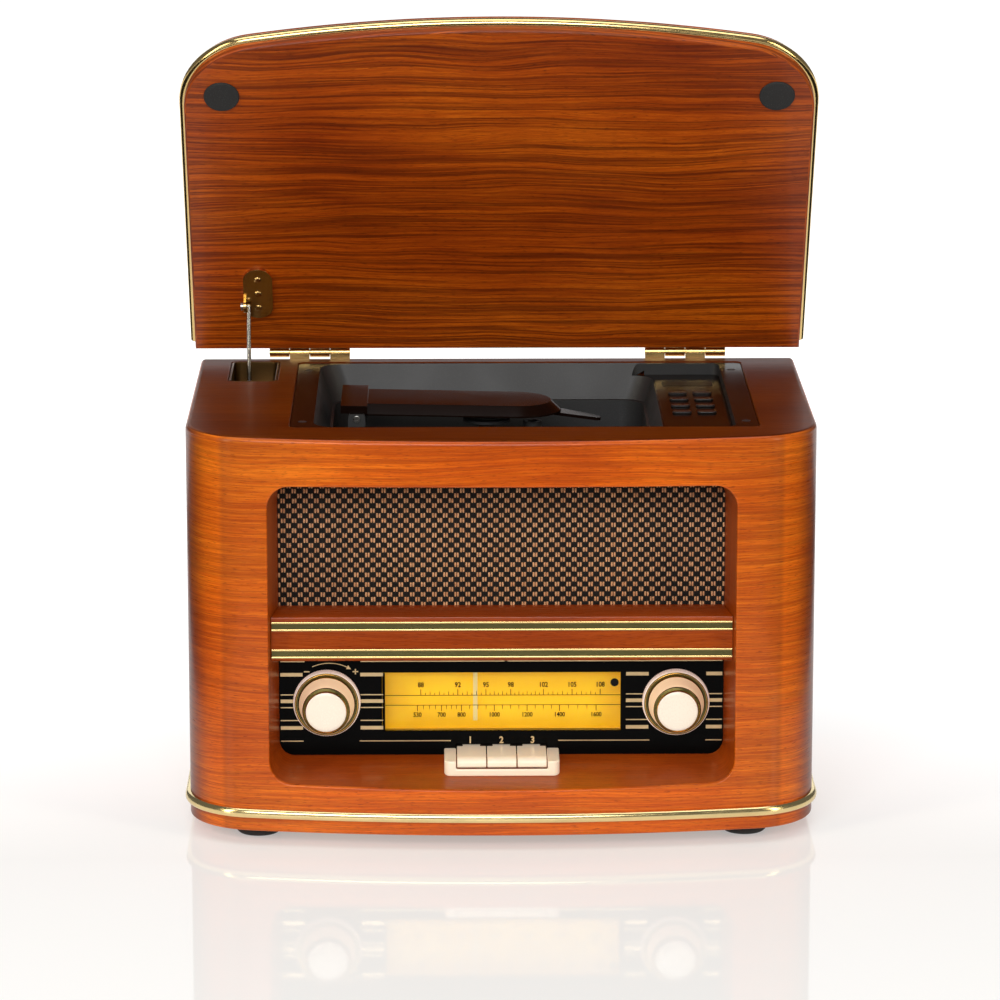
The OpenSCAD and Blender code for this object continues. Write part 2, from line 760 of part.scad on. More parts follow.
// Slotted plate: the slot is the arc through the foot's places with the lid shut, half open and open
foot_a = foot_at(0);
foot_b = foot_at(lid_open / 2);
foot_c = foot_at(lid_open);
chord_ab = foot_b - foot_a;
chord_ac = foot_c - foot_a;
cross_abc = 2 * (chord_ab[0] * chord_ac[1] - chord_ab[1] * chord_ac[0]);
arc_y = foot_a[0] + (chord_ac[1] * (chord_ab * chord_ab) - chord_ab[1] * (chord_ac * chord_ac)) / cross_abc;
arc_z = foot_a[1] + (chord_ab[0] * (chord_ac * chord_ac) - chord_ac[0] * (chord_ab * chord_ab)) / cross_abc;
arc_r = norm([arc_y, arc_z] - foot_a);
slot_half = rod_d / 2 + 0.7;
slot_reach = 4;
plate_half = 9;
plate_t1 = 1.5;

module stay_slot_plate() {
    x = rod_x + rod_d / 2 + fit_gap;
    high = top_z - pocket_floor - 0.02;
    low = foot_a[1] - 8;
    mid = (min(foot_a[0], foot_b[0]) + max(foot_a[0], foot_c[0])) / 2;
    color(steel) at_origin() difference() {
        union() {
            box(x, x + plate_t1, mid - plate_half, mid + plate_half, low, high);
            box(x, x + 9, mid - plate_half, mid + plate_half, high - plate_t1, high);
        }
        intersection() {
            box(x - cut, x + plate_t1 + cut, mid - 2 * plate_half, mid + 2 * plate_half,
                foot_a[1] - slot_reach, foot_c[1] + slot_reach);
            translate([x - cut, arc_y, arc_z]) rotate([90, 0, 90])
                linear_extrude(plate_t1 + 2 * cut) difference() {
                    circle(arc_r + slot_half, $fn = 128);
                    circle(arc_r - slot_half, $fn = 128);
                }
        }
    }
}

baffle_x = inner_x + 6;

module baffle_board() {
    color(dark_wood) at_origin() difference() {
        box(-baffle_x, baffle_x, baffle_y, baffle_y + baffle_t, foot_h + baffle_low,
            foot_h + inner_top + 1);
        for (x = [-1, 1])
            along_y(x * speaker_x, foot_h + speaker_z, speaker_d - edge_w - 2, baffle_y - cut,
                baffle_y + baffle_t + cut);
    }
}

baffle_y = scoop_d + cloth_t + 0.1;

module grille_cloth() {
    color([0.45, 0.30, 0.20]) at_origin()
        box(-baffle_x, baffle_x, scoop_d + 0.05, scoop_d + 0.05 + cloth_t,
            foot_h + baffle_low, foot_h + inner_top + 1);
}

// Bar across the opening, as wide as the tapered lining lets it be
module cross_bar() {
    slack = 0.3;
    back_x = open_x - taper * scoop_d - slack;
    front_x = open_x - taper * bar_y - slack;
    color(dark_wood) at_origin() slab(foot_h + bar_low, foot_h + bar_low + bar_h)
        polygon([[-front_x, bar_y], [front_x, bar_y], [back_x, scoop_d], [-back_x, scoop_d]]);
}

bar_strip_low = [2, bar_h - bar_strip_h - 2.6];

module bar_strips() {
    half = open_x - taper * bar_y - 0.6;
    color(brass) at_origin() for (z = bar_strip_low) difference() {
        box(-half, half, bar_y - bar_strip_t - 0.02, bar_y - 0.02, foot_h + bar_low + z,
            foot_h + bar_low + z + bar_strip_h);
        box(-half - cut, half + cut, bar_y - bar_strip_t - cut, bar_y - bar_strip_t + 0.3,
            foot_h + bar_low + z + 1, foot_h + bar_low + z + bar_strip_h - 1);
    }
}

// Black panel behind the opening, with the window and the shafts' holes
panel_low = inner_low - 4;
panel_top = bar_low + 12;
panel_y = scoop_d + 0.05;

module dial_panel() {
    color(black) at_origin() difference() {
        box(-baffle_x, baffle_x, panel_y, panel_y + panel_t, foot_h + panel_low,
            foot_h + panel_top - 0.4);
        box(-window_x, window_x, panel_y - cut, panel_y + panel_t + cut,
            foot_h + window_low, foot_h + window_top);
        for (x = [-1, 1])
            along_y(x * knob_x, foot_h + knob_z, shaft_d + 2 * run_gap, panel_y - cut,
                panel_y + panel_t + cut);
        box(-key_span, key_span, panel_y - cut, panel_y + panel_t + cut,
            foot_h + key_top - lever_t - 2, foot_h + key_top + 0.6);
    }
}

key_span = key_pitch * 1.5;
lever_t = 3;

module dial_window() {
    color([0.95, 0.75, 0.10]) at_origin()
        box(-window_x + 0.05, window_x - 0.05, panel_y + 0.2, panel_y + 0.2 + glass_t,
            foot_h + window_low + 0.05, foot_h + window_top - 0.05);
}

// Plate behind the dial: it holds the two rails of the pointer and the lamps
pointer_y = panel_y + panel_t + 1.2;
rail_y = pointer_y + 5;
rail_over = 6;
lamp_d = 5;
lamp_up = 10;
back_over = 12;
back_t = 1.6;
side_t = 3;
dial_rail_z = foot_h + window_top + rail_over;
back_y = rail_y + 7;
rail_d = 3;
lamp_n = 4;

module dial_backplate() {
    half = window_x + back_over;
    color(grey) at_origin() {
        box(-half, half, back_y, back_y + back_t, foot_h + window_low + 2, dial_rail_z + rail_over);
        for (x = [-1, 1])
            translate([x * (half - side_t / 2), 0, 0]) box(-side_t / 2, side_t / 2,
                panel_y + panel_t + 0.02, back_y, dial_rail_z - rail_over + 2, dial_rail_z + rail_over);
        along_x(rail_y, dial_rail_z, rail_d, 0.5 - half + side_t - 1, half - side_t + 0.5);
        for (i = [0 : lamp_n - 1])
            along_y((i - (lamp_n - 1) / 2) * window_x / 2, foot_h + window_low + lamp_up,
                lamp_d, back_y - lamp_d + 1, back_y);
    }
}

// Pointer: a thin blade behind the glass, on a carriage that slides on the rail
carriage_w = 14;

module dial_pointer() {
    color([0.95, 0.95, 0.90]) at_origin() {
        box(pointer_x - pointer_w / 2, pointer_x + pointer_w / 2, pointer_y, pointer_y + 1,
            foot_h + window_low + 5, dial_rail_z + 3);
        difference() {
            box(pointer_x - carriage_w / 2, pointer_x + carriage_w / 2, pointer_y + 1,
                rail_y + rail_d / 2 + 2, dial_rail_z - 3.5, dial_rail_z + 3);
            along_x(rail_y, dial_rail_z, rail_d + 2 * run_gap, pointer_x - carriage_w, pointer_x + carriage_w);
        }
    }
}

// Knob, seen from its foot: knurled ring, groove, coned middle, groove, cap
foot_gap = 0.6;
ring_h = 5;
knurl_n = 60;
knurl_depth = 0.5;

module knob(x) {
    r = knob_d / 2;
    cap = cap_d / 2;
    difference() {
        turned(x, foot_h + knob_z, panel_y - foot_gap, [[0, 0], [r, 0], [r - 0.6, ring_h],
            [r - 1.8, ring_h + 0.8], [r - 2.4, ring_h + 0.2], [r - 3, ring_h + 0.2],
            [cap + 2.2, knob_l - 4], [cap + 1.6, knob_l - 3], [cap + 0.9, knob_l - 3.4],
            [cap + 0.2, knob_l - 3.4], [cap, knob_l - 0.9], [cap - 0.8, knob_l], [0, knob_l]]);
        for (i = [0 : knurl_n - 1])
            translate([x, panel_y - foot_gap, foot_h + knob_z]) rotate([0, i * 360 / knurl_n, 0])
                translate([-0.35, -ring_h + 0.3, r - knurl_depth]) cube([0.7, ring_h - 1, 1]);
        along_y(x, foot_h + knob_z, shaft_d, panel_y - foot_gap - 10, panel_y + cut);
    }
}

module volume_knob() {
    color(cream) at_origin() {
        knob(-knob_x);
        along_y(-knob_x, foot_h + knob_z, shaft_d, panel_y - foot_gap - 10,
            panel_y + panel_t + 3);
    }
}

module tuning_knob() {
    color(cream) at_origin() knob(knob_x);
}

// Shaft, drum and the capacitor's coupling, which turn with the tuning knob
drum_y = panel_y + panel_t + 4;

module tuning_drum() {
    color(grey) at_origin() {
        along_y(knob_x, foot_h + knob_z, shaft_d, panel_y - foot_gap - 10, drum_y + 12);
        difference() {
            along_y(knob_x, foot_h + knob_z, drum_d, drum_y, drum_y + 5);
            difference() {
                along_y(knob_x, foot_h + knob_z, drum_d + cut, drum_y + 1.5, drum_y + 3.5);
                along_y(knob_x, foot_h + knob_z, drum_d - 3, drum_y + 1, drum_y + 4);
            }
        }
    }
}

pot_d = 17;
pot_neck_d = 9;
pot_neck = 3;
pot_l = 9;
pot_tags = 16;

module volume_pot() {
    color(steel) at_origin() translate([-knob_x, panel_y + panel_t + 0.02, foot_h + knob_z])
        difference() {
            union() {
                along_y(0, 0, pot_neck_d, 0, pot_neck);
                along_y(0, 0, pot_d, pot_neck, pot_neck + pot_l);
                box(1 - pot_neck_d, pot_neck_d - 1, pot_neck + 1, pot_neck + 3, -pot_tags, 0);
            }
            along_y(0, 0, shaft_d + 2 * run_gap, -cut, pot_neck + 0.4);
        }
}

// The capacitor stands behind the drum, on a bracket from the dial panel
tuner_w = 22;
tuner_l = 16;
tuner_arm = 4;
tuner_arm_t = 3;
tuner_arm_h = 10;
tuner_gap = 6;

module tuning_capacitor() {
    front = drum_y + tuner_gap;
    half = tuner_w / 2;
    color(steel) at_origin() translate([knob_x, 0, foot_h + knob_z]) difference() {
        union() {
            box(-half, half, front, front + tuner_l, -half, half);
            for (x = [-half - tuner_arm, half + tuner_arm - tuner_arm_t])
                box(x, x + tuner_arm_t, panel_y + panel_t + 0.02, front + tuner_gap,
                    -tuner_arm_h / 2, tuner_arm_h / 2);
            box(-half - tuner_arm, half + tuner_arm, front, front + 2, -tuner_arm_h / 2, tuner_arm_h / 2);
        }
        along_y(0, 0, shaft_d + 2 * run_gap, front - cut, front + tuner_l / 2);
    }
}

// Cream surround of the keys: a low frame on the sill, open at the back
surround_r = 4;
surround_lip = 1.4;
lip_top = 34.2;

module key_surround() {
    half = surround_w / 2;
    color(cream) at_origin() difference() {
        rounded_box(-half, half, surround_y, scoop_d + 2 * surround_r, foot_h + open_low,
            foot_h + surround_top, surround_r);
        box(-key_span - fit_gap, key_span + fit_gap, surround_y + surround_lip, scoop_d + 9,
            foot_h, foot_h + surround_top + cut);
        box(-key_span - fit_gap, key_span + fit_gap, surround_y - cut, scoop_d + 9,
            foot_h + lip_top, foot_h + surround_top + cut);
        box(-half - cut, half + cut, scoop_d, scoop_d + 10, foot_h, foot_h + surround_top + cut);
        under_sill();
    }
}

// Everything under the sloping sill, taken from what stands on it
module under_sill() {
    difference() {
        box(-surround_w, surround_w, 0, scoop_d + 12, foot_h, foot_h + inner_low + cut);
        opening_form(-0.05, lining_front, scoop_d + 12);
    }
}

// Piano key: its lever goes through the panel to an axle behind it
axle_y = panel_y + panel_t + 9;
axle_z = foot_h + key_top - lever_t / 2;
axle_d = 3;
boss_d = 7;
key_back = scoop_d - 1;

module key(i) {
    x = (i - 1) * key_pitch;
    z = foot_h + key_top;
    color(cream) at_origin() difference() {
        union() {
            translate([x - key_w / 2, 0, 0]) rotate([90, 0, 90]) linear_extrude(key_w)
                polygon([[key_y + 0.5, z - key_h], [key_y, z - key_h + 1], [key_y + 0.1, z - 2.6],
                    [key_y + 0.9, z - 1.3], [key_y + 2.4, z - 0.4], [key_y + 4.6, z],
                    [key_back, z], [key_back, z - 3.6], [key_y + 9, z - key_h + 0.4],
                    [key_y + 3, z - key_h]]);
            box(x - 5, x + 5, key_back - cut, axle_y, z - lever_t, z);
            along_x(axle_y, axle_z, boss_d, x - 5, x + 5);
        }
        along_x(axle_y, axle_z, axle_d + 2 * run_gap, x - 9, x + 9);
    }
}

module key_1() { key(0); }
module key_2() { key(1); }
module key_3() { key(2); }

// Switch bank behind the keys, with the axle that they turn on
switch_y = axle_y + boss_d / 2 + 1.5;

switch_over = 4;
switch_half = 9;
switch_t = 1.6;
switch_l = 11;
switch_w = 10;

module key_switches() {
    end = key_span + switch_over;
    color(grey) at_origin() {
        along_x(axle_y, axle_z, axle_d, -end, end);
        for (x = [-end, end - 2])
            box(x, x + 2, panel_y + panel_t + 0.02, switch_y + 1, axle_z - switch_w / 2, axle_z + switch_w / 2);
        box(-end, end, switch_y, switch_y + switch_t, axle_z - switch_half, axle_z + switch_half);
        for (i = [-1, 0, 1])
            box(i * key_pitch - switch_w / 2, i * key_pitch + switch_w / 2, switch_y + switch_t - 0.1,
                switch_y + switch_l, axle_z - switch_w / 2, axle_z + switch_w / 2);
    }
}

// Speakers: pressed basket with its magnet, and the paper cone in it
speaker_depth = 26;
magnet_d = speaker_d * 0.64;
basket_w = 12;
rim_w = 5;
sheet_t = 1.2;
edge_w = 6;
speaker_y = baffle_y + baffle_t + 0.02;

module speaker_frames() {
    r = speaker_d / 2;
    color(steel) at_origin() for (x = [-1, 1])
        translate([x * speaker_x, speaker_y, foot_h + speaker_z]) rotate([-90, 0, 0]) difference() {
            rotate_extrude() polygon([[r - rim_w, 0], [r, 0], [r, sheet_t], [r - rim_w + 1.5, sheet_t],
                [magnet_d / 2 - 2, speaker_depth - 8], [magnet_d / 2, speaker_depth - 8],
                [magnet_d / 2, speaker_depth], [0, speaker_depth], [0, speaker_depth - 8 - sheet_t],
                [magnet_d / 2 - 3, speaker_depth - 8 - sheet_t]]);
            for (a = [45 : 90 : 359]) rotate([0, 0, a]) translate([r - basket_w - 2, -basket_w / 2, 3])
                cube([basket_w * 2, basket_w, speaker_depth - basket_w - 2]);
        }
}

module speaker_cones() {
    r = speaker_d / 2 - edge_w;
    color(black) at_origin() for (x = [-1, 1])
        translate([x * speaker_x, speaker_y, foot_h + speaker_z]) rotate([-90, 0, 0])
            rotate_extrude() polygon([[r, 0], [r, 0.8], [r - 1.5, -1.4 + 0.8], [r - 4, -1.4],
                [r - 6, 0.2], [8, speaker_depth - 12], [0, speaker_depth - 16],
                [0, speaker_depth - 17], [9, speaker_depth - 13.4], [r - 5.6, -1],
                [r - 4, -2.4], [r - 1.2, -1.8]]);
}

// Main board on its posts, with heat sink, capacitors, chip and aerial rod
board_left = 120;
board_right = 50;
board_behind = 50;
board_l = 100;
board_up = 6;
board_t = 1.6;
board_x0 = board_left - body_w / 2;
board_x1 = body_w / 2 - board_right;
board_y0 = body_d - board_behind - board_l;
board_z = floor_z + board_up;
post_d = 7;
post_in = 6;
sink = [20, 30];
sink_w = 32;
sink_h = 30;
sink_t = 2;
fin_n = 9;
fin_t = 1.2;
fin_l = 8;
fin_pitch = 3.6;
can_n = 4;
can = [70, 14];
can_d = 12.5;
can_h = 20;
can_more = 5;
can_pitch = 16;
chip = [80, 60];
chip_w = 24;
chip_t = 3;
aerial_d = 10;
aerial_up = 8;
aerial_y = 94;
aerial_in = 60;
aerial_end = 20;
clip_w = 4;
clip_in = 12;

module main_board() {
    top = board_z + board_t;
    y1 = board_y0 + board_l;
    color([0.10, 0.30, 0.15]) at_origin() {
        box(board_x0, board_x1, board_y0, y1, board_z, top);
        for (x = [board_x0 + post_in, board_x1 - post_in], y = [board_y0 + post_in, y1 - post_in])
            translate([x, y, floor_z + 0.02]) cylinder(d = post_d, h = board_up);
        translate([board_x0, board_y0, top]) {
            translate(sink) {
                cube([sink_w, sink_t, sink_h]);
                for (i = [0 : fin_n - 1])
                    translate([sink_w / 2 + (i - (fin_n - 1) / 2) * fin_pitch - fin_t / 2, sink_t, 0])
                        cube([fin_t, fin_l, sink_h]);
            }
            for (i = [0 : can_n - 1]) translate([can[0] + i * can_pitch, can[1], 0])
                cylinder(d = can_d, h = can_h + (i % 2) * can_more);
            translate(chip) cube([chip_w, chip_w, chip_t]);
        }
        along_x(board_y0 + aerial_y, board_z + aerial_up, aerial_d, board_x0 + aerial_in,
            board_x1 - aerial_end);
        for (x = [board_x0 + aerial_in + clip_in, board_x1 - aerial_end - clip_in])
            box(x - clip_w / 2, x + clip_w / 2, board_y0 + aerial_y - aerial_d / 2,
                board_y0 + aerial_y + aerial_d / 2, top, board_z + aerial_up - 2);
    }
}

// Mains transformer: laminated core, coil and bracket
mains_left = 58;
mains_behind = 96;
core_w = 56;
core_l = 48;
core_h = 46;
coil_w = 40;
coil_l = 72;
coil_h = 32;
coil_up = 8;
bracket_w = 76;
bracket_l = 28;
bracket_t = 2;
bracket_hole = 4;
bracket_in = 5;

module transformer() {
    color(steel) at_origin() translate([mains_left - body_w / 2, body_d - mains_behind, floor_z + 0.02]) {
        box(-core_w / 2, core_w / 2, -core_l / 2, core_l / 2, 0, core_h);
        difference() {
            box(-bracket_w / 2, bracket_w / 2, -bracket_l / 2, bracket_l / 2, 0, bracket_t);
            for (x = [-1, 1]) translate([x * (bracket_w / 2 - bracket_in), 0, -cut])
                cylinder(d = bracket_hole, h = bracket_t + 2 * cut);
        }
        box(-coil_w / 2, coil_w / 2, -coil_l / 2, coil_l / 2, coil_up, coil_up + coil_h);
    }
}

// Two-pin mains inlet, let into the rear cover
inlet_rim = 3;
inlet_rim_t = 1.8;
inlet_l = 14;
inlet_gap = 0.1;
pin_pitch = 8;
blade_d = 2.4;
socket_d = 8.4;
socket_l = 9;

module mains_inlet() {
    w = inlet_w / 2;
    h = inlet_h / 2;
    color(black) at_origin() {
        difference() {
            union() {
                box(inlet_x - w + inlet_gap, inlet_x + w - inlet_gap, rear_in - inlet_l, body_d + 0.5,
                    inlet_z - h + inlet_gap, inlet_z + h - inlet_gap);
                box(inlet_x - w - inlet_rim, inlet_x + w + inlet_rim, body_d + 0.02,
                    body_d + inlet_rim_t, inlet_z - h - inlet_rim, inlet_z + h + inlet_rim);
            }
            for (x = [-1, 1])
                along_y(inlet_x + x * pin_pitch / 2, inlet_z, socket_d, rear_in - socket_l, body_d + 3);
        }
        for (x = [-1, 1])
            along_y(inlet_x + x * pin_pitch / 2, inlet_z, blade_d, rear_in - socket_l - 1, body_d - 3);
    }
}

// Deck: a moulded tray with side flanges, a ledge, a deep well and a raised platform
flange_sink = 0.6;
tray_floor = top_z - ledge_depth;
well_floor = top_z - well_depth;
basin_left = -(tray_left - flange_w);
basin_right = tray_right - flange_w;
basin_r = 13;
platform_top = top_z - platform_depth;
flange_top = top_z - flange_sink;
basin_split = platform_x + tan(draft) * (platform_depth - flange_sink);

// Basin with leaning walls, larger by out
module basin(out, low) {
    above = out + cut * tan(draft);
    below = out - (flange_top - low) * tan(draft);
    hull() for (g = [[above, flange_top + cut - 0.01], [below, low]])
        rounded_box(basin_left - g[0], basin_split + g[0], tray_front + tray_t - g[0],
            tray_back - tray_t + g[0], g[1], g[1] + 0.01, basin_r);
}

module deck_tray() {
    color(black) at_origin() difference() {
        union() {
            rounded_box(-tray_left, tray_right, tray_front, tray_back, flange_top - flange_t,
                flange_top, tray_corner);
            intersection() {
                basin(tray_t, tray_floor - tray_t);
                rounded_box(-tray_left, tray_right, tray_front, tray_back, foot_h, flange_top, tray_corner);
            }
            rounded_box(platform_x - 2 * tray_t, basin_right + tray_t, tray_front, tray_back,
                platform_top - tray_t, flange_top, tray_corner);
            rounded_box(-well_left - tray_t, well_right + tray_t, well_front - tray_t, well_back + tray_t,
                well_floor - tray_t, tray_floor, well_r + tray_t);
        }
        basin(0, tray_floor);
        rounded_box(platform_x - basin_r, basin_right, tray_front + tray_t, tray_back - tray_t,
            platform_top, top_z + cut, platform_r);
        rounded_box(-well_left, well_right, well_front, well_back, well_floor, tray_floor + cut, well_r);
        for (i = [0 : 7]) translate([button_place(i)[0], button_place(i)[1], platform_top - tray_t - cut])
            cylinder(d = button_pin_d + 1, h = tray_t + 2 * cut, $fn = 32);
        for (y = deck_screw_ys) {
            translate([-deck_screw_left, y, flange_top]) deck_screw_hole();
            translate([deck_screw_right, y, flange_top]) deck_screw_hole();
        }
        translate([spindle_x, spindle_y, well_floor - tray_t - cut]) cylinder(d = hub_d + 6, h = 10);
        box(spindle_x, spindle_x + sled_slot, spindle_y - slot_half_w, spindle_y + slot_half_w,
            well_floor - tray_t - cut, well_floor + cut);
    }
    color(black) at_origin() for (y = [ear_front, ear_back]) difference() {
        union() {
            box(pin_x - tray_ear_r, pin_x + tray_ear_r, y, y + tray_ear_t, well_floor - 0.02, cover_pin_z);
            along_y(pin_x, cover_pin_z, 2 * tray_ear_r, y, y + tray_ear_t);
        }
        along_y(pin_x, cover_pin_z, cover_pin_d, y - cut, y + tray_ear_t + cut);
        box(pin_x - 2 * tray_ear_r, pin_x + 2 * tray_ear_r, y - cut, y + tray_ear_t + cut,
            cover_pin_z + cover_pin_d / 2 + 1, cover_pin_z + 3 * tray_ear_r);
    }
}

module deck_screw_hole() {
    rotate([180, 0, 0]) translate([0, 0, -cut]) rotate_extrude($fn = 32)
        polygon([[0, 0], [2.6, 0], [2.6, cut + 0.05], [1.3, cut + 1.35], [1.3, 5], [0, 5]]);
}

platform_r = 5;

// Cover's hinge pin, along Y, in two ears of the tray
pin_x = pin_in - well_left;
pin_under = 6.7;
cover_top = top_z - cover_depth;
cover_pin_z = cover_top - pin_under;
knuckle_half = 31;
tray_ear_r = 5;
tray_ear_t = 4;
knuckle_front = spindle_y - knuckle_half;
knuckle_back = spindle_y + knuckle_half;
ear_front = knuckle_front - tray_ear_t - fit_gap;
ear_back = knuckle_back + fit_gap;
sled_slot = 60;
slot_half_w = 15;

module cover_pin() {
    color(steel) at_origin()
        along_y(pin_x, cover_pin_z, cover_pin_d, ear_front - 0.5, ear_back + tray_ear_t + 0.5);
}

button_rows = 4;
button_pin_d = 3;
function button_place(i) = [button_x + (i % 2 - 0.5) * button_dx,
    display_front - button_back - (button_rows - 1 - floor(i / 2)) * button_dy];

panel_left = platform_x + 0.6;
panel_right = basin_right - 1.5;
panel_back = tray_back - panel_behind;
panel_front = tray_front + 10;
plate_t = 1;
display_back = panel_back - 6.5;
display_front = display_back - 14;

// Glossy control panel on the platform, pierced for the buttons and the display
module control_panel() {
    color(dark_wood) at_origin() difference() {
        rounded_box(panel_left, panel_right, panel_front, panel_back, platform_top + 0.02,
            platform_top + plate_t, 3);
        for (i = [0 : 7]) translate([button_place(i)[0], button_place(i)[1], platform_top - cut])
            linear_extrude(plate_t + 2 * cut)
                rounded(button_l + 2 * fit_gap, button_w + 2 * fit_gap, button_w / 2 + fit_gap - 0.05);
        box(panel_left + 4, panel_right - 4, display_front, display_back, platform_top - cut,
            platform_top + plate_t + cut);
    }
}

module display_window() {
    color([0.25, 0.28, 0.30]) at_origin()
        box(panel_left + 4.05, panel_right - 4.05, display_front + 0.05, display_back - 0.05,
            platform_top + 0.02, platform_top + plate_t + 0.2);
}

// Button: oval cap with a pin through the platform
module deck_button(i) {
    p = button_place(i);
    color(grey) at_origin() translate([p[0], p[1], 0]) {
        slab(platform_top + button_travel + 0.02, platform_top + plate_t + button_up)
            rounded(button_l, button_w, button_w / 2 - 0.05);
        translate([0, 0, platform_top - tray_t - 0.5])
            cylinder(d = button_pin_d, h = button_travel + tray_t + 1, $fn = 32);
    }
}

module deck_button_1() { deck_button(0); }
module deck_button_2() { deck_button(1); }
module deck_button_3() { deck_button(2); }
module deck_button_4() { deck_button(3); }
module deck_button_5() { deck_button(4); }
module deck_button_6() { deck_button(5); }
module deck_button_7() { deck_button(6); }
module deck_button_8() { deck_button(7); }

// Swing-up cover: a bevelled tongue with a round end over the spindle, and a finger tab
cover_low = cover_top - cover_t;
cover_base = 1;
block_left = 9.5;
block_right = 6;
block_up = 7;
barrel_d = 9;
tab_root = 33.5;
tab_half = 9;
tab_end_r = 4;
tab_t = 1.8;
tab_slope = 8.3;
puck_d = 32;
puck_bore = 22;
puck_rim = 2;
puck_hollow = 5;
cover_skin = 2;

module on_cover() {
    at_origin() translate([pin_x, 0, cover_pin_z]) rotate([0, cover_lean, 0])
        translate([-pin_x, 0, -cover_pin_z]) children();
}

module tongue(r) {
    translate([spindle_x + cover_end, spindle_y]) circle(r, $fn = 96);
    translate([pin_x + block_right - cut, spindle_y - r])
        square([spindle_x + cover_end - pin_x - block_right + cut, 2 * r]);
}

module cd_cover() {
    half = cover_w / 2;
    tab_l = tab_end - spindle_x - tab_root;
    color(dark_wood) on_cover() difference() {
        union() {
            hull() {
                slab(cover_low, cover_low + cover_base) tongue(half);
                slab(cover_top - 0.1, cover_top) tongue(half - cover_bevel);
            }
            // Raised block over the hinge, and the barrel under it
            box(pin_x - block_left, pin_x + block_right, knuckle_front, knuckle_back,
                cover_pin_z + cover_pin_d / 2 + fit_gap, cover_pin_z + block_up);
            along_y(pin_x, cover_pin_z, barrel_d, knuckle_front, knuckle_back);
            // Finger tab that slopes down
            translate([spindle_x + tab_root, spindle_y, cover_low + cover_base]) rotate([0, tab_slope, 0])
                translate([0, 0, -tab_t]) linear_extrude(tab_t) {
                    polygon([[0, -tab_half], [tab_l - tab_end_r, -tab_end_r], [tab_l - tab_end_r, tab_end_r],
                        [0, tab_half]]);
                    translate([tab_l - tab_end_r, 0]) circle(tab_end_r);
                }
        }
        along_y(pin_x, cover_pin_z, cover_pin_d + 2 * run_gap, knuckle_front - cut, knuckle_back + cut);
        translate([spindle_x, spindle_y, cover_low - cut])
            cylinder(d = puck_d + 2, h = cover_t - cover_skin + cut);
    }
}

// Puck under the cover that holds the disc down
module clamp_puck() {
    low = hub_top + 2.2;
    color(black) on_cover() translate([spindle_x, spindle_y, low]) difference() {
        union() {
            cylinder(d = puck_d, h = puck_rim);
            cylinder(d = puck_bore + 5, h = cover_top - cover_skin - 0.02 - low);
        }
        translate([0, 0, -cut]) cylinder(d = puck_bore, h = puck_hollow + cut);
    }
}

// Player's chassis, hung under the well's floor on four posts
chassis_drop = 8;
chassis_t = 1.5;
chassis_left = 40;
chassis_right = 70;
chassis_half = 36;
chassis_post_d = 8;
motor_d = 24;
motor_l = 12;
motor_shaft_d = 2;
collar_d = 10;
chassis_z = well_floor - tray_t - chassis_drop;
sled_x = 22;
sled_w = 18;
sled_in = 4;
sled_slot_y = 11;
rail_half = 16;
rail_up = 4.6;
sled_rail_d = 3;
rail_x0 = 15;
rail_x1 = 66;
rail_foot = 3;
lens_d = 11;
lens_hole = 6;

module cd_chassis() {
    color(steel) at_origin() translate([spindle_x, spindle_y, chassis_z]) difference() {
        union() {
            box(-chassis_left, chassis_right, -chassis_half, chassis_half, 0, chassis_t);
            for (x = [post_in - chassis_left, chassis_right - post_in],
                y = [post_in - chassis_half, chassis_half - post_in])
                translate([x, y, chassis_t - 0.1])
                    cylinder(d = chassis_post_d, h = chassis_drop - chassis_t + 0.08);
        }
        translate([0, 0, -cut]) cylinder(d = collar_d, h = chassis_t + 2 * cut);
        box(sled_x - sled_in, sled_x - sled_in + sled_w + sled_travel, -sled_slot_y, sled_slot_y,
            -cut, chassis_t + cut);
    }
}

module spindle_motor() {
    color(steel) at_origin() translate([spindle_x, spindle_y, chassis_z - 0.02]) difference() {
        translate([0, 0, -motor_l]) cylinder(d = motor_d, h = motor_l);
        translate([0, 0, -shaft_in]) cylinder(d = motor_shaft_d + 2 * run_gap, h = shaft_in + cut);
    }
}

// Hub on the motor's shaft, with the boss that centres the disc
hub_depth = 16;
hub_top = top_z - hub_depth;
hub_l = 14;
hub_rim = 2;
boss_r = 7.4;
boss_up = 2.4;
shaft_in = 8;

module spindle_hub() {
    color(black) at_origin() translate([spindle_x, spindle_y, hub_top]) {
        translate([0, 0, chassis_z - shaft_in + 0.5 - hub_top])
            cylinder(d = motor_shaft_d, h = hub_top - chassis_z + shaft_in - 1, $fn = 32);
        rotate_extrude() polygon([[0, -hub_l], [collar_d / 2, -hub_l], [collar_d / 2, -1 - hub_rim],
            [hub_d / 2, -1 - hub_rim], [hub_d / 2, -1], [boss_r, -1], [boss_r - 0.1, 1],
            [boss_r - 1.4, boss_up], [0, boss_up]]);
    }
}

sled_rest = spindle_x + sled_x;
rail_z = chassis_z + rail_up;

module sled_rails() {
    color(steel) at_origin() for (y = [spindle_y - rail_half, spindle_y + rail_half]) {
        along_x(y, rail_z, sled_rail_d, spindle_x + rail_x0, spindle_x + rail_x1);
        for (x = [spindle_x + rail_x0 - 1, spindle_x + rail_x1 - rail_foot])
            box(x, x + rail_foot, y - rail_foot + 0.5, y + rail_foot - 0.5, chassis_z + chassis_t + 0.02, rail_z);
    }
}

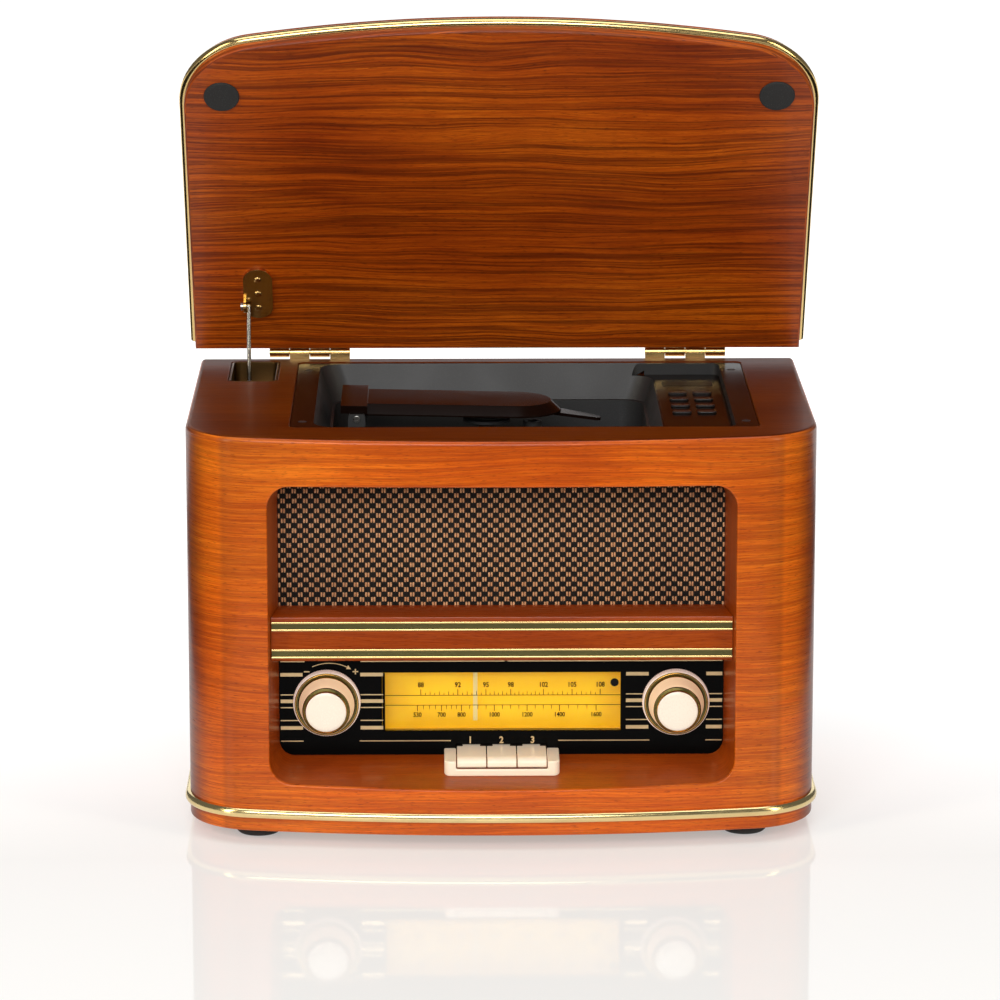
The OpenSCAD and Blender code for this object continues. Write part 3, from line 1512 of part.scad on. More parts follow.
module laser_sled() {
    x = sled_rest - sled_in;
    color(grey) at_origin() difference() {
        union() {
            box(x, x + sled_w, spindle_y - rail_half - 3.5, spindle_y + rail_half + 3.5,
                rail_z - 2.6, rail_z + 2.8);
            box(x + 1, x + sled_w - 1, spindle_y - sled_slot_y - 1, spindle_y + sled_slot_y + 1,
                rail_z, well_floor + 5);
            translate([x + sled_w / 2, spindle_y, rail_z]) cylinder(d = lens_d, h = hub_top - rail_z - 3);
        }
        for (y = [-1, 1])
            along_x(spindle_y + y * rail_half, rail_z, sled_rail_d + 2 * run_gap, x - cut, x + sled_w + cut);
        translate([x + sled_w / 2, spindle_y, hub_top - 4]) cylinder(d = lens_hole, h = 4);
    }
}

cabinet_body();
front_lining();
bottom_board();
feet();
cabinet_screws();
base_strip();
rear_cover();
hinge_leaves_body();
hinge_pins();
stay_pocket();
stay_slot_plate();
baffle_board();
grille_cloth();
cross_bar();
bar_strips();
dial_panel();
dial_window();
dial_backplate();
key_surround();
key_switches();
volume_pot();
tuning_capacitor();
speaker_frames();
speaker_cones();
main_board();
transformer();
mains_inlet();
deck_tray();
control_panel();
display_window();
cd_chassis();
spindle_motor();
sled_rails();
cover_pin();
lid_panel();
lid_moulding();
lid_bumpers();
hinge_leaves_lid();
stay_bracket();
lid_screws();
stay_rod();
volume_knob();
tuning_knob();
tuning_drum();
dial_pointer();
key_1();
key_2();
key_3();
cd_cover();
clamp_puck();
spindle_hub();
laser_sled();
deck_button_1();
deck_button_2();
deck_button_3();
deck_button_4();
deck_button_5();
deck_button_6();
deck_button_7();
deck_button_8();
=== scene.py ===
import json
import math
import random

import bmesh
import bpy
from mathutils import Matrix, Vector


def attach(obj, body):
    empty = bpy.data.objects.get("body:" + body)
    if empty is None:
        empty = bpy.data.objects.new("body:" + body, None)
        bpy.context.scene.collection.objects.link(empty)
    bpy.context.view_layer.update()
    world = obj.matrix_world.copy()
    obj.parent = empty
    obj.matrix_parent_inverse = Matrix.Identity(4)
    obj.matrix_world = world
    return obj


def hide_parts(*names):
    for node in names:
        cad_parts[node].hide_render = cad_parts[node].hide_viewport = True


# Sizes below are millimetres: x from the centre line, y from the middle of the bowed front
# towards the back, z above the table. They become the row's metres as a mesh is made.

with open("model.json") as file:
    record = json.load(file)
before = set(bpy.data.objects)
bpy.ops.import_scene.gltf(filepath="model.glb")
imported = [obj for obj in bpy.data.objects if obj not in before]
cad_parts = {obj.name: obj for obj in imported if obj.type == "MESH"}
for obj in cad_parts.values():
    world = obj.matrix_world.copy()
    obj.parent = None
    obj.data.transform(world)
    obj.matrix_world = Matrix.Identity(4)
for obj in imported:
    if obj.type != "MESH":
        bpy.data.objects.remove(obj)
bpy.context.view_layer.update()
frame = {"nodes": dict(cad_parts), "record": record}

random.seed(7)
cos, sin, pi = math.cos, math.sin, math.pi

BACK = 125.2156  # from the frame's origin to the middle of the bowed front
FOOT, TOP, DEEP = 8.0, 238.0, 240.0
BOW_R, COR_R, HALF, WALL = 850.0, 42.0, 180.0, 12.0
COR_X = HALF - COR_R
COR_Y = BOW_R - math.sqrt((BOW_R - COR_R) ** 2 - COR_X ** 2)
TURN = math.asin(COR_X / (BOW_R - COR_R))
PIN_Y, PIN_Z, OPEN = 243.5, 241.5, math.radians(59.5)
LID_LOW, LID_HIGH, LID_BACK, LID_OVER = 239.5, 255.5, 239.3, 3.2  # over: past the cabinet's outline
MOULDING_LOW, MOULDING_HIGH, MOULDING_MID = 244.5, 250.5, 247.5
RECESS = 48.0  # depth of the front opening, where the baffle and the dial begin
OPEN_HALF, OPEN_LOW, OPEN_HIGH, OPEN_R = 134, FOOT + 26.8, FOOT + 203.4, 14
COVER_HALF, COVER_TOP, COVER_FACE = 168, 226, 236  # the rear cover's place in the back
BAR_FRONT, BAR_LOW, BAR_HIGH, BAR_TAPER = 20, FOOT + 98, FOOT + 123.8, 0.125
CLOTH_HALF, CLOTH_LOW, CLOTH_HIGH, CLOTH_FACE = 133.5, 119.2, 205.8, 48.06
PANEL = 48.05  # face of the dial panel
DIAL_HALF = 127.2  # the gold lines' reach to either side
PRINT_SHIFT = 1.8  # the print stands this far right of the middle
WINDOW_HALF, WINDOW_LOW, WINDOW_HIGH = 68.6, FOOT + 49.1, FOOT + 83.6
KEY_DIGITS, DIGIT_Z = (-18.0, 0.0, 18.0), FOOT + 43.3
KNOB_X, KNOB_Z, KNOB_SEAT = 100.5, FOOT + 66.5, 47.45

# How finely the cabinet's outline is cut: bow, corner, side, back, and levels of the wall
NB, NC, NS, NK, NZ = 64, 16, 10, 12, 20


def opened(p):
    """A point of the closed lid, turned open about the hinge pin."""
    y, z = p[1] - PIN_Y, p[2] - PIN_Z
    return (p[0], PIN_Y + y * cos(OPEN) + z * sin(OPEN), PIN_Z - y * sin(OPEN) + z * cos(OPEN))


def bow(x):
    """How far the bowed front has gone back at x."""
    return BOW_R - math.sqrt(BOW_R ** 2 - x * x)


# Materials

class Mat:
    """A node material: values and sockets go straight on the shader or on a node."""

    def __init__(self, name, **sockets):
        self.m = bpy.data.materials.new(name)
        self.m.use_nodes = True
        self.t = self.m.node_tree
        self.b = self.t.nodes["Principled BSDF"]
        self.set(**sockets)

    def put(self, socket, value):
        if isinstance(value, bpy.types.NodeSocket):
            self.t.links.new(value, socket)
        elif socket.type == "RGBA" and len(value) == 3:
            socket.default_value = (*value, 1)
        else:
            socket.default_value = value

    def set(self, **sockets):
        for k, v in sockets.items():
            self.put(self.b.inputs[k.replace("_", " ")], v)

    def node(self, kind, props=None, **ins):
        n = self.t.nodes.new("ShaderNode" + kind)
        for k, v in (props or {}).items():
            setattr(n, k, v)
        for k, v in ins.items():
            key = int(k[1:]) if k[0] == "i" and k[1:].isdigit() else k.replace("_", " ")
            self.put(n.inputs[key], v)
        return n

    def object(self):
        return self.node("TexCoord").outputs["Object"]

    def uv(self):
        return self.node("UVMap", {"uv_map": "grain"}).outputs["UV"]

    def scaled(self, vector, scale, move=(0, 0, 0)):
        return self.node("Mapping", i0=vector, Scale=scale, Location=move).outputs[0]

    def noise(self, vector, scale, detail=3.0, rough=0.5, distort=0.0):
        return self.node("TexNoise", Vector=vector, Scale=scale, Detail=detail,
            Roughness=rough, Distortion=distort).outputs[0]

    def math(self, op, a, b=0.5, c=0.5):
        return self.node("Math", {"operation": op}, i0=a, i1=b, i2=c).outputs[0]

    def ramp(self, fac, *stops):
        n = self.node("ValToRGB", Fac=fac)
        e = n.color_ramp.elements
        while len(e) < len(stops):
            e.new(0.5)
        for el, (at, c) in zip(e, stops):
            el.position = at
            el.color = (c, c, c, 1) if isinstance(c, (int, float)) else (*c, 1)
        return n.outputs[0]

    def mix(self, fac, a, b, how="MIX"):
        n = self.node("Mix", {"data_type": "RGBA", "blend_type": how})
        self.put(n.inputs[0], fac)
        self.put(n.inputs[6], a)
        self.put(n.inputs[7], b)
        return n.outputs[2]

    def bump(self, height, strength=0.2, distance=0.0002):
        n = self.node("Bump", Height=height, Strength=strength, Distance=distance)
        self.put(self.b.inputs["Normal"], n.outputs[0])


def wood(name, light, mid, dark, pore, figure, bands, rough, coat, seed, spec=0.4, sway=0.05, shade=None):
    """Lacquered veneer. The grain runs along the first UV axis, in metres.

    shade is where the middle of the front lies on that axis, if the front gets painted shade towards its
    corners and a painted highlight band where each corner begins.
    """
    w = Mat(name, Coat_Weight=coat, Coat_Roughness=0.1, Specular_IOR_Level=spec)
    uv = w.scaled(w.uv(), (1, 1, 1), (seed, seed * 0.37, 0))
    wave = w.noise(w.scaled(uv, (5.5, 16, 1)), 1.0, 2.0)
    sweep = w.node("SeparateXYZ", i0=uv)
    across = w.math("ADD", sweep.outputs[1], w.math("MULTIPLY", wave, sway))
    bent = w.node("CombineXYZ", i0=sweep.outputs[0], i1=across, i2=0.0).outputs[0]
    rings = w.noise(w.scaled(bent, (1.6, bands, 1)), 1.0, 4.0, 0.62)
    streak = w.noise(w.scaled(bent, (13, 620, 1)), 1.0, 5.0, 0.65)
    fibre = w.noise(w.scaled(bent, (60, 2100, 1)), 1.0, 3.0, 0.6)
    cloud = w.noise(w.scaled(uv, (6, 14, 1)), 1.0, 3.0)
    dash = w.noise(w.scaled(bent, (170, 2300, 1)), 1.0, 2.0, 0.5)
    base = w.ramp(w.math("ADD", w.math("MULTIPLY", streak, 0.5), w.math("MULTIPLY", cloud, 0.5)),
        (0.34, dark), (0.48, mid), (0.64, light))
    line = w.ramp(rings, (0.34, 1.0), (0.44, 0.12), (0.50, 0.95), (0.56, 0.1), (0.66, 0.0))
    base = w.mix(w.math("MULTIPLY", line, figure), base, pore)
    base = w.mix(w.math("MULTIPLY", w.ramp(fibre, (0.40, 1.0), (0.58, 0.0)), 0.5), base, dark)
    specks = w.ramp(dash, (0.30, 1.0), (0.40, 0.0))
    base = w.mix(w.math("MULTIPLY", specks, 0.7), base, pore)
    if shade:
        # Painted shade and a painted highlight: the tone follows the distance from the middle, darkens
        # the outer bow, brightens in a band where the corner begins, and is darkest where the corner
        # turns
        along = w.node("SeparateXYZ", i0=w.uv()).outputs[0]
        far = w.math("ABSOLUTE", w.math("SUBTRACT", along, shade))
        tone = w.ramp(w.math("MULTIPLY", far, 4.0), (0.40, 1.0), (0.60, 0.82), (0.638, 0.76),
            (0.650, 1.0), (0.685, 0.92), (0.73, 0.48), (0.77, 0.28), (0.82, 0.36), (0.90, 0.88))
        base = w.mix(1.0, base, tone, "MULTIPLY")
    w.set(Base_Color=base, Roughness=w.ramp(fibre, (0.3, rough - 0.04), (0.7, rough + 0.08)))
    w.bump(w.math("SUBTRACT", fibre, specks), 0.10, 0.00012)
    return w.m


def metal(name, color, rough, brushed=0.0, spots=None):
    """Metal brushed along x. spots is the colour of its tarnish."""
    w = Mat(name, Metallic=1.0)
    o = w.object()
    tone = w.noise(o, 45.0, 3.0)
    fine = w.noise(w.scaled(o, (0.15, 1, 1)), 600.0, 3.0)
    dull = tuple(c * 0.72 for c in color)
    c = w.mix(w.ramp(tone, (0.35, 0.0), (0.75, 0.55)), color, dull)
    if spots:
        age = w.ramp(w.noise(o, 210.0, 4.0, 0.7), (0.60, 0.0), (0.72, 0.5))
        c = w.mix(age, c, spots)
    w.set(Base_Color=c, Roughness=w.ramp(w.math("ADD", w.math("MULTIPLY", fine, 0.5),
        w.math("MULTIPLY", tone, 0.5)), (0.3, rough - 0.05), (0.7, rough + 0.09)))
    w.bump(fine, 0.05 + brushed, 0.0001)
    return w.m


def plastic(name, color, rough, grain=0.0, scale=2600.0, coat=0.0, vary=0.12, **sockets):
    """Plastic, rubber, paper or board. grain lifts its points, vary darkens it in patches."""
    w = Mat(name, Coat_Weight=coat, Coat_Roughness=0.06, **sockets)
    o = w.object()
    tone = w.noise(o, 30.0, 3.0)
    fine = w.noise(o, scale, 2.0, 0.6)
    c = w.mix(w.ramp(tone, (0.35, 0.0), (0.7, 1.0)), color, tuple(v * (1 - vary) for v in color))
    if grain:
        lit = tuple(min(1, v * 1.9 + 0.01) for v in color)
        c = w.mix(w.ramp(fine, (0.55, 0.0), (0.68, 0.6)), c, lit)
    w.set(Base_Color=c, Roughness=w.ramp(w.math("ADD", w.math("MULTIPLY", fine, 0.4),
        w.math("MULTIPLY", tone, 0.6)), (0.3, max(0.02, rough - 0.04)), (0.7, rough + 0.06)))
    w.bump(fine, 0.04 + grain, 0.0001)
    return w.m


M = {
    # The front's last value centres its painted shade and painted highlight band on the middle of the bow
    "front": wood("veneer_front", (0.97, 0.245, 0.010), (0.73, 0.131, 0.003), (0.43, 0.054, 0.002),
        (0.14, 0.014, 0.001), 0.46, 150.0, 0.30, 0.12, 0.0, 0.25, 0.014, 0.3908),
    "top": wood("veneer_top", (0.205, 0.046, 0.003), (0.140, 0.025, 0.002), (0.082, 0.012, 0.001),
        (0.05, 0.007, 0.001), 0.45, 120.0, 0.36, 0.02, 3.1, 0.06, 0.025),
    "lid": wood("veneer_lid", (0.70, 0.150, 0.006), (0.50, 0.082, 0.003), (0.23, 0.027, 0.002),
        (0.05, 0.006, 0.001), 0.85, 170.0, 0.32, 0.12, 5.3, 0.25, 0.024),
    "lining": wood("stained_lining", (0.48, 0.094, 0.005), (0.38, 0.062, 0.003), (0.25, 0.030, 0.001),
        (0.07, 0.008, 0.001), 0.18, 60.0, 0.34, 0.10, 8.2, 0.25, 0.03),
    "bar": wood("stained_bar", (0.46, 0.085, 0.004), (0.36, 0.055, 0.002), (0.22, 0.026, 0.001),
        (0.08, 0.010, 0.001), 0.2, 60.0, 0.28, 0.12, 9.9, 0.2, 0.03),
    "board": wood("raw_board", (0.42, 0.22, 0.10), (0.34, 0.17, 0.07), (0.25, 0.12, 0.05),
        (0.15, 0.07, 0.03), 0.2, 30.0, 0.6, 0.0, 12.0),
    "brass": metal("brass", (0.80, 0.53, 0.20), 0.20, spots=(0.28, 0.16, 0.05)),
    "gold": metal("gold_trim", (0.86, 0.62, 0.26), 0.14),
    "trim": metal("pale_brass", (0.88, 0.70, 0.34), 0.17),
    "olive": metal("recess_olive", (0.16, 0.14, 0.055), 0.28),
    "steel": metal("steel", (0.62, 0.60, 0.56), 0.24),
    "dull_steel": metal("dull_steel", (0.36, 0.36, 0.35), 0.42, 0.05),
    "pocket": metal("bronze_pocket", (0.15, 0.085, 0.030), 0.34),
    "rubber": plastic("rubber", (0.018, 0.018, 0.019), 0.72, 0.12, 1500.0),
    "black": plastic("black_plastic", (0.022, 0.022, 0.024), 0.5, 0.06),
    "deck": plastic("deck_texture", (0.020, 0.020, 0.021), 0.46, 0.08, 2300.0),
    "deck_gloss": plastic("deck_gloss", (0.007, 0.004, 0.003), 0.17, 0.0, 900.0,
        Specular_IOR_Level=0.045),
    "cover": plastic("cover_gloss", (0.007, 0.003, 0.002), 0.14, 0.0, 700.0,
        Specular_IOR_Level=0.055),
    "dial": plastic("dial_black", (0.002, 0.002, 0.002), 0.16, 0.0, 900.0, Specular_IOR_Level=0.04),
    "print": metal("gold_print", (0.78, 0.58, 0.32), 0.36),
    "ink": plastic("scale_ink", (0.025, 0.012, 0.002), 0.5, Specular_IOR_Level=0.1),
    # The cream keys and their surround carry a faint painted glow in their emission
    "cream": plastic("cream", (0.93, 0.80, 0.62), 0.30, 0.0, 900.0, 0.25, 0.05,
        Subsurface_Weight=0.12, Subsurface_Radius=(0.004, 0.002, 0.001),
        Emission_Color=(1, 0.84, 0.70, 1), Emission_Strength=0.15),
    "cap": plastic("knob_cap", (0.95, 0.86, 0.74), 0.26, 0.0, 900.0, 0.2, 0.03),
    # The knob's cone and knurl carry painted glow in their emission, which brightens them beyond their
    # lighting
    "peach": plastic("knob_cone", (0.97, 0.74, 0.50), 0.30, 0.0, 900.0, 0.2, 0.04,
        Emission_Color=(1, 0.64, 0.38, 1), Emission_Strength=0.40),
    "knurl": plastic("knob_knurl", (0.95, 0.80, 0.72), 0.34, 0.0, 900.0, 0.2, 0.06,
        Emission_Color=(1, 0.76, 0.64, 1), Emission_Strength=0.36),
    "screen": plastic("display_glass", (0.008, 0.009, 0.010), 0.30, 0.0, 700.0,
        Specular_IOR_Level=0.06),
    "button": plastic("button", (0.020, 0.018, 0.018), 0.26, 0.0, 1800.0, Specular_IOR_Level=0.35),
    # The pointer's emission is a faint painted glow standing in for the dial lamps' light
    "pointer": plastic("pointer", (0.80, 0.68, 0.34), 0.35, Emission_Color=(1, 0.8, 0.3, 1),
        Emission_Strength=0.12),
    "pcb": plastic("circuit_board", (0.02, 0.14, 0.05), 0.4, 0.05, 400.0),
    "cone": plastic("paper_cone", (0.018, 0.018, 0.018), 0.85, 0.25, 1200.0),
}


def yarn(name, a, b, furrow_color):
    """Twisted yarn between two colours, with a third colour in its furrows, which is painted shade on the
    tan and the grey yarns.
    """
    w = Mat(name, Specular_IOR_Level=0.15)
    o = w.object()
    hue = w.noise(o, 190.0, 2.0)
    twist = w.noise(w.scaled(o, (2600, 1, 900)), 1.0, 3.0, 0.7)
    c = w.mix(w.ramp(hue, (0.38, 0.0), (0.62, 1.0)), a, b)
    c = w.mix(w.ramp(twist, (0.40, 0.65), (0.62, 0.0)), c, furrow_color)
    w.set(Base_Color=c, Roughness=w.ramp(twist, (0.3, 0.75), (0.7, 0.95)))
    w.bump(twist, 0.6, 0.0004)
    return w.m


# The third colour of each yarn goes in its furrows: darker painted shade for the tan and the grey,
# lighter for the black
for name, *colors in (
        ("yarn_tan", (1.0, 0.58, 0.32), (0.86, 0.44, 0.22), (0.25, 0.11, 0.05)),
        ("yarn_black", (0.004, 0.004, 0.004), (0.009, 0.008, 0.008), (0.03, 0.027, 0.025)),
        ("yarn_grey", (0.035, 0.026, 0.020), (0.06, 0.045, 0.035), (0.008, 0.007, 0.007))):
    M[name] = yarn(name, *colors)


def lit_scale():
    """Yellow board with painted backlight: a painted glow, brighter along the middle, with painted shade
    darkening its rim.
    """
    w = Mat("lit_scale", Roughness=0.4)
    uv = w.node("SeparateXYZ", i0=w.uv())
    # Painted shade of the window's frame along the board's rim
    edge_x = w.ramp(w.math("ABSOLUTE", uv.outputs[0]), (0.050, 0.0), (0.0705, 1.0))
    edge_z = w.ramp(w.math("ABSOLUTE", uv.outputs[1]), (0.006, 0.0), (0.0185, 1.0))
    dark = w.math("MAXIMUM", edge_x, w.math("MULTIPLY", edge_z, 0.75))
    glow = w.noise(w.scaled(w.uv(), (28, 40, 1)), 1.0, 1.0)
    c = w.mix(w.ramp(glow, (0.35, 0.0), (0.7, 0.5)), (0.86, 0.50, 0.003), (0.96, 0.63, 0.010))
    c = w.mix(w.math("MULTIPLY", dark, 0.62), c, (0.42, 0.22, 0.002))
    # The emission is painted glow that stands in for the dial lamps behind the board
    w.set(Base_Color=c, Emission_Color=c, Emission_Strength=0.36)
    return w.m


M["lit"] = lit_scale()


def clear_pane():
    """Thin clear window with a faint warm tint."""
    w = Mat("dial_glass", Roughness=0.0, Transmission_Weight=1.0, IOR=1.01, Coat_Weight=0.15,
        Coat_Roughness=0.03)
    tint = w.noise(w.object(), 20.0, 2.0)
    w.set(Base_Color=w.ramp(tint, (0.3, (1.0, 0.97, 0.86)), (0.7, (1.0, 0.99, 0.92))))
    return w.m


M["pane"] = clear_pane()


# Meshes

def parted(bm, mat=0, uv=None):
    """Vertices, faces, UVs where uv(co) gives them, and materials of a bmesh, which it frees."""
    bm.verts.index_update()
    verts = [tuple(v.co) for v in bm.verts]
    faces = [tuple(v.index for v in f.verts) for f in bm.faces]
    uvs = [uv and [uv(v.co) for v in f.verts] for f in bm.faces]
    bm.free()
    return verts, faces, uvs, [mat] * len(faces)


def numbered(*names):
    """A new bmesh whose vertices carry a number under each name, which extrusions pass on."""
    bm = bmesh.new()
    for name in names:
        bm.verts.layers.int.new(name)
    return (bm, *(bm.verts.layers.int[name] for name in names))


def loft(rings, closed=True, uv=None, skip=None, caps=(), mat=0):
    """A row of vertices extruded from ring to ring. caps names the ends to fill."""
    n = len(rings[0])
    bm, place, level = numbered("place", "level")
    row = [bm.verts.new(p) for p in rings[0]]
    for i, v in enumerate(row):
        v[place] = i
    edges = [bm.edges.new((row[i], row[(i + 1) % n])) for i in range(n if closed else n - 1)]
    ends = [edges]
    for k, ring in enumerate(rings[1:], 1):
        made = bmesh.ops.extrude_edge_only(bm, edges=edges)["geom"]
        for v in (g for g in made if isinstance(g, bmesh.types.BMVert)):
            v[level] = k
            v.co = ring[v[place]]
        edges = [g for g in made if isinstance(g, bmesh.types.BMEdge)
            and all(v[level] == k for v in g.verts)]
    ends.append(edges)
    for end in caps:
        bmesh.ops.edgeloop_fill(bm, edges=ends[end])

    def whereabouts(f):
        """The face's lower ring and first place, and whether it closes the rings."""
        levels, places = {v[level] for v in f.verts}, {v[place] for v in f.verts}
        wraps = closed and places == {0, n - 1}
        return min(levels), n - 1 if wraps else min(places), wraps, len(levels) == 1

    if skip:
        bmesh.ops.delete(bm, geom=[f for f in bm.faces if skip(*whereabouts(f)[:2])], context="FACES")
    uvs = []
    for f in bm.faces:
        wraps, cap = whereabouts(f)[2:]
        uvs.append(None if cap or not uv else [uv(v[level], n if wraps and v[place] == 0 else v[place],
            rings[v[level]][v[place]]) for v in f.verts])
    verts, faces, _, mats = parted(bm, mat)
    return verts, faces, uvs, mats


def spun(x, z, y, profile, steps, ends, knurl=0.0):
    """A profile of (radius, height, material) spun about the front-back axis through x, z.

    ends are the profile's points whose circles are filled. Every second point round the rim,
    where the material is RIM, is drawn in by knurl.
    """
    bm, row = numbered("row")
    line = [bm.verts.new((x + r, y - h, z)) for r, h, _ in profile]
    for k, v in enumerate(line):
        v[row] = k
    edges = [bm.edges.new(pair) for pair in zip(line, line[1:])]
    bmesh.ops.spin(bm, geom=line + edges, cent=(x, y, z), axis=(0, -1, 0), angle=2 * pi,
        steps=steps, use_merge=True)
    for v in bm.verts:
        out = Vector((v.co.x - x, 0, v.co.z - z))
        turn = round(math.atan2(out.z, out.x) * steps / (2 * pi))
        if knurl and profile[v[row]][2] == RIM and turn % 2:
            v.co -= out.normalized() * knurl
    bmesh.ops.edgeloop_fill(bm, edges=[e for e in bm.edges if e.is_boundary and e.verts[0][row] in ends])
    mats = [profile[min(v[row] for v in f.verts)][2] for f in bm.faces]
    return (*parted(bm)[:3], mats)


def block(x0, x1, y0, y1, z0, z1, open_at, inward=False, mat=0, uv=None):
    """A box without the side that lies at y = open_at."""
    bm = bmesh.new()
    middle, size = Vector((x0 + x1, y0 + y1, z0 + z1)) / 2, (x1 - x0, y1 - y0, z1 - z0)
    bmesh.ops.create_cube(bm, size=1, matrix=Matrix.LocRotScale(middle, None, Vector(size)))
    gone = [f for f in bm.faces if abs(f.calc_center_median().y - open_at) < (y1 - y0) / 4]
    bmesh.ops.delete(bm, geom=gone, context="FACES_ONLY")
    if inward:
        bmesh.ops.reverse_faces(bm, faces=bm.faces)
    return parted(bm, mat, uv)


def grid(segments, middle=(0, 0, 0), half=(1, 1)):
    """A level grid of faces, as a bmesh."""
    bm = bmesh.new()
    bmesh.ops.create_grid(bm, x_segments=segments, y_segments=segments, size=1,
        matrix=Matrix.LocRotScale(Vector(middle), None, Vector((*half, 1))))
    return bm


def joined(parts):
    """Several parts as one."""
    verts, faces, uvs, mats = [], [], [], []
    for v, f, u, m in parts:
        off = len(verts)
        verts += v
        faces += [tuple(i + off for i in q) for q in f]
        uvs += u
        mats += m
    return verts, faces, uvs, mats


def build(name, body, materials, parts, nodes=(), lid=False, smooth=32, weld=1e-6, mods=(),
        normals=True):
    """Makes one piece from parts in millimetres, and hangs it on its body."""
    verts, faces, uvs, mats = joined(parts)
    me = bpy.data.meshes.new(name)
    me.from_pydata([Vector(v) * 0.001 for v in verts], [], faces)
    layer = me.uv_layers.new(name="grain")
    for poly, u, m in zip(me.polygons, uvs, mats):
        poly.material_index = m
        axis = max(range(3), key=lambda a: abs(poly.normal[a]))
        for c, li in enumerate(poly.loop_indices):
            if u:
                layer.data[li].uv = (u[c][0] * 0.001, u[c][1] * 0.001)
            else:
                p = me.vertices[me.loops[li].vertex_index].co
                layer.data[li].uv = ((p.y if axis == 0 else p.x), (p.y if axis == 2 else p.z))
    bm = bmesh.new()
    bm.from_mesh(me)
    bmesh.ops.remove_doubles(bm, verts=bm.verts, dist=weld)
    if normals:
        bmesh.ops.recalc_face_normals(bm, faces=bm.faces)
    for v in bm.verts:
        p = opened(v.co * 1000) if lid else v.co * 1000
        v.co = Vector((p[0], p[1] - BACK, p[2])) * 0.001
    bm.to_mesh(me)
    bm.free()
    return finish_piece(name, me, body, materials, nodes, smooth, mods)


def finish_piece(name, me, body, materials, nodes, smooth, mods):
    """The object of a mesh: shading, materials, modifiers and body."""
    me.polygons.foreach_set("use_smooth", [True] * len(me.polygons))
    me.set_sharp_from_angle(angle=math.radians(smooth))
    for m in materials:
        me.materials.append(M[m])
    o = bpy.data.objects.new(name, me)
    bpy.context.scene.collection.objects.link(o)
    for kind, props in mods:
        mod = o.modifiers.new(kind.lower(), kind)
        for k, v in props.items():
            setattr(mod, k, v)
    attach(o, body)
    if nodes:
        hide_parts(*nodes)
    return o


def bevel(width, segments):
    return ("BEVEL", {"width": width * 0.001, "segments": segments, "limit_method": "ANGLE",
        "angle_limit": math.radians(30), "harden_normals": False, "use_clamp_overlap": True})


FLAT = ("WEIGHTED_NORMAL", {"keep_sharp": True, "weight": 60})
BODY = {n: b for b, ns in frame["record"]["behaviour"]["bodies"].items() for n in ns}


def refine(node, materials, width, segments=2, pick=None):
    """The node's own form with its edges rounded. pick(centre, normal) chooses a face's material."""
    src = frame["nodes"][node]
    bm = bmesh.new()
    bm.from_mesh(src.data)
    bmesh.ops.remove_doubles(bm, verts=bm.verts, dist=2e-6)
    bmesh.ops.dissolve_limit(bm, angle_limit=math.radians(0.6), verts=bm.verts, edges=bm.edges)
    lay = bm.loops.layers.uv.get("grain") or bm.loops.layers.uv.new("grain")
    for f in bm.faces:
        axis = max(range(3), key=lambda a: abs(f.normal[a]))
        for l in f.loops:
            p = l.vert.co
            l[lay].uv = ((p.y if axis == 0 else p.x), (p.y if axis == 2 else p.z))
        c = f.calc_center_median() * 1000
        f.material_index = pick((c.x, c.y + BACK, c.z), f.normal) if pick else 0
    me = bpy.data.meshes.new(node + "_piece")
    bm.to_mesh(me)
    bm.free()
    mods = [bevel(width, segments), FLAT] if width else [FLAT]
    return finish_piece(node + "_piece", me, BODY[node], materials, [node], 35, mods)


def plan_path(g, back=DEEP, closed=True):
    """Outline of the cabinet, larger by g, from the rear left round the bow to the rear right."""
    h, r = HALF + g, COR_R + g
    pts = [(-h, back + (COR_Y - back) * i / NS) for i in range(NS)]
    a0, a1 = pi, pi + (pi / 2 - TURN)
    pts += [(-COR_X + r * cos(a0 + (a1 - a0) * i / NC), COR_Y + r * sin(a0 + (a1 - a0) * i / NC))
        for i in range(NC)]
    pts += [((BOW_R + g) * sin(t), BOW_R - (BOW_R + g) * cos(t))
        for t in (TURN * (2 * i / NB - 1) for i in range(NB + 1))]
    left = pts[:NS + NC]
    pts += [(-x, y) for x, y in reversed(left)]
    if closed:
        pts += [(h - 2 * h * i / NK, back) for i in range(1, NK)]
    return pts


def lengths(pts):
    """Distance walked along a closed outline at each of its points."""
    s, out = 0.0, [0.0]
    for a, b in zip(pts, pts[1:] + pts[:1]):
        s += math.dist(a, b)
        out.append(s)
    return out


S = lengths(plan_path(0))
FIRST, LAST = NS + NC, NS + NC + NB  # the outline's points where the bow begins and ends


def arc(r, n):
    """Rounding of an edge: (inset, height) pairs from the flat of the wall to the flat of the top."""
    return [(r * (1 - cos(pi / 2 * k / n)), r * sin(pi / 2 * k / n)) for k in range(n + 1)]


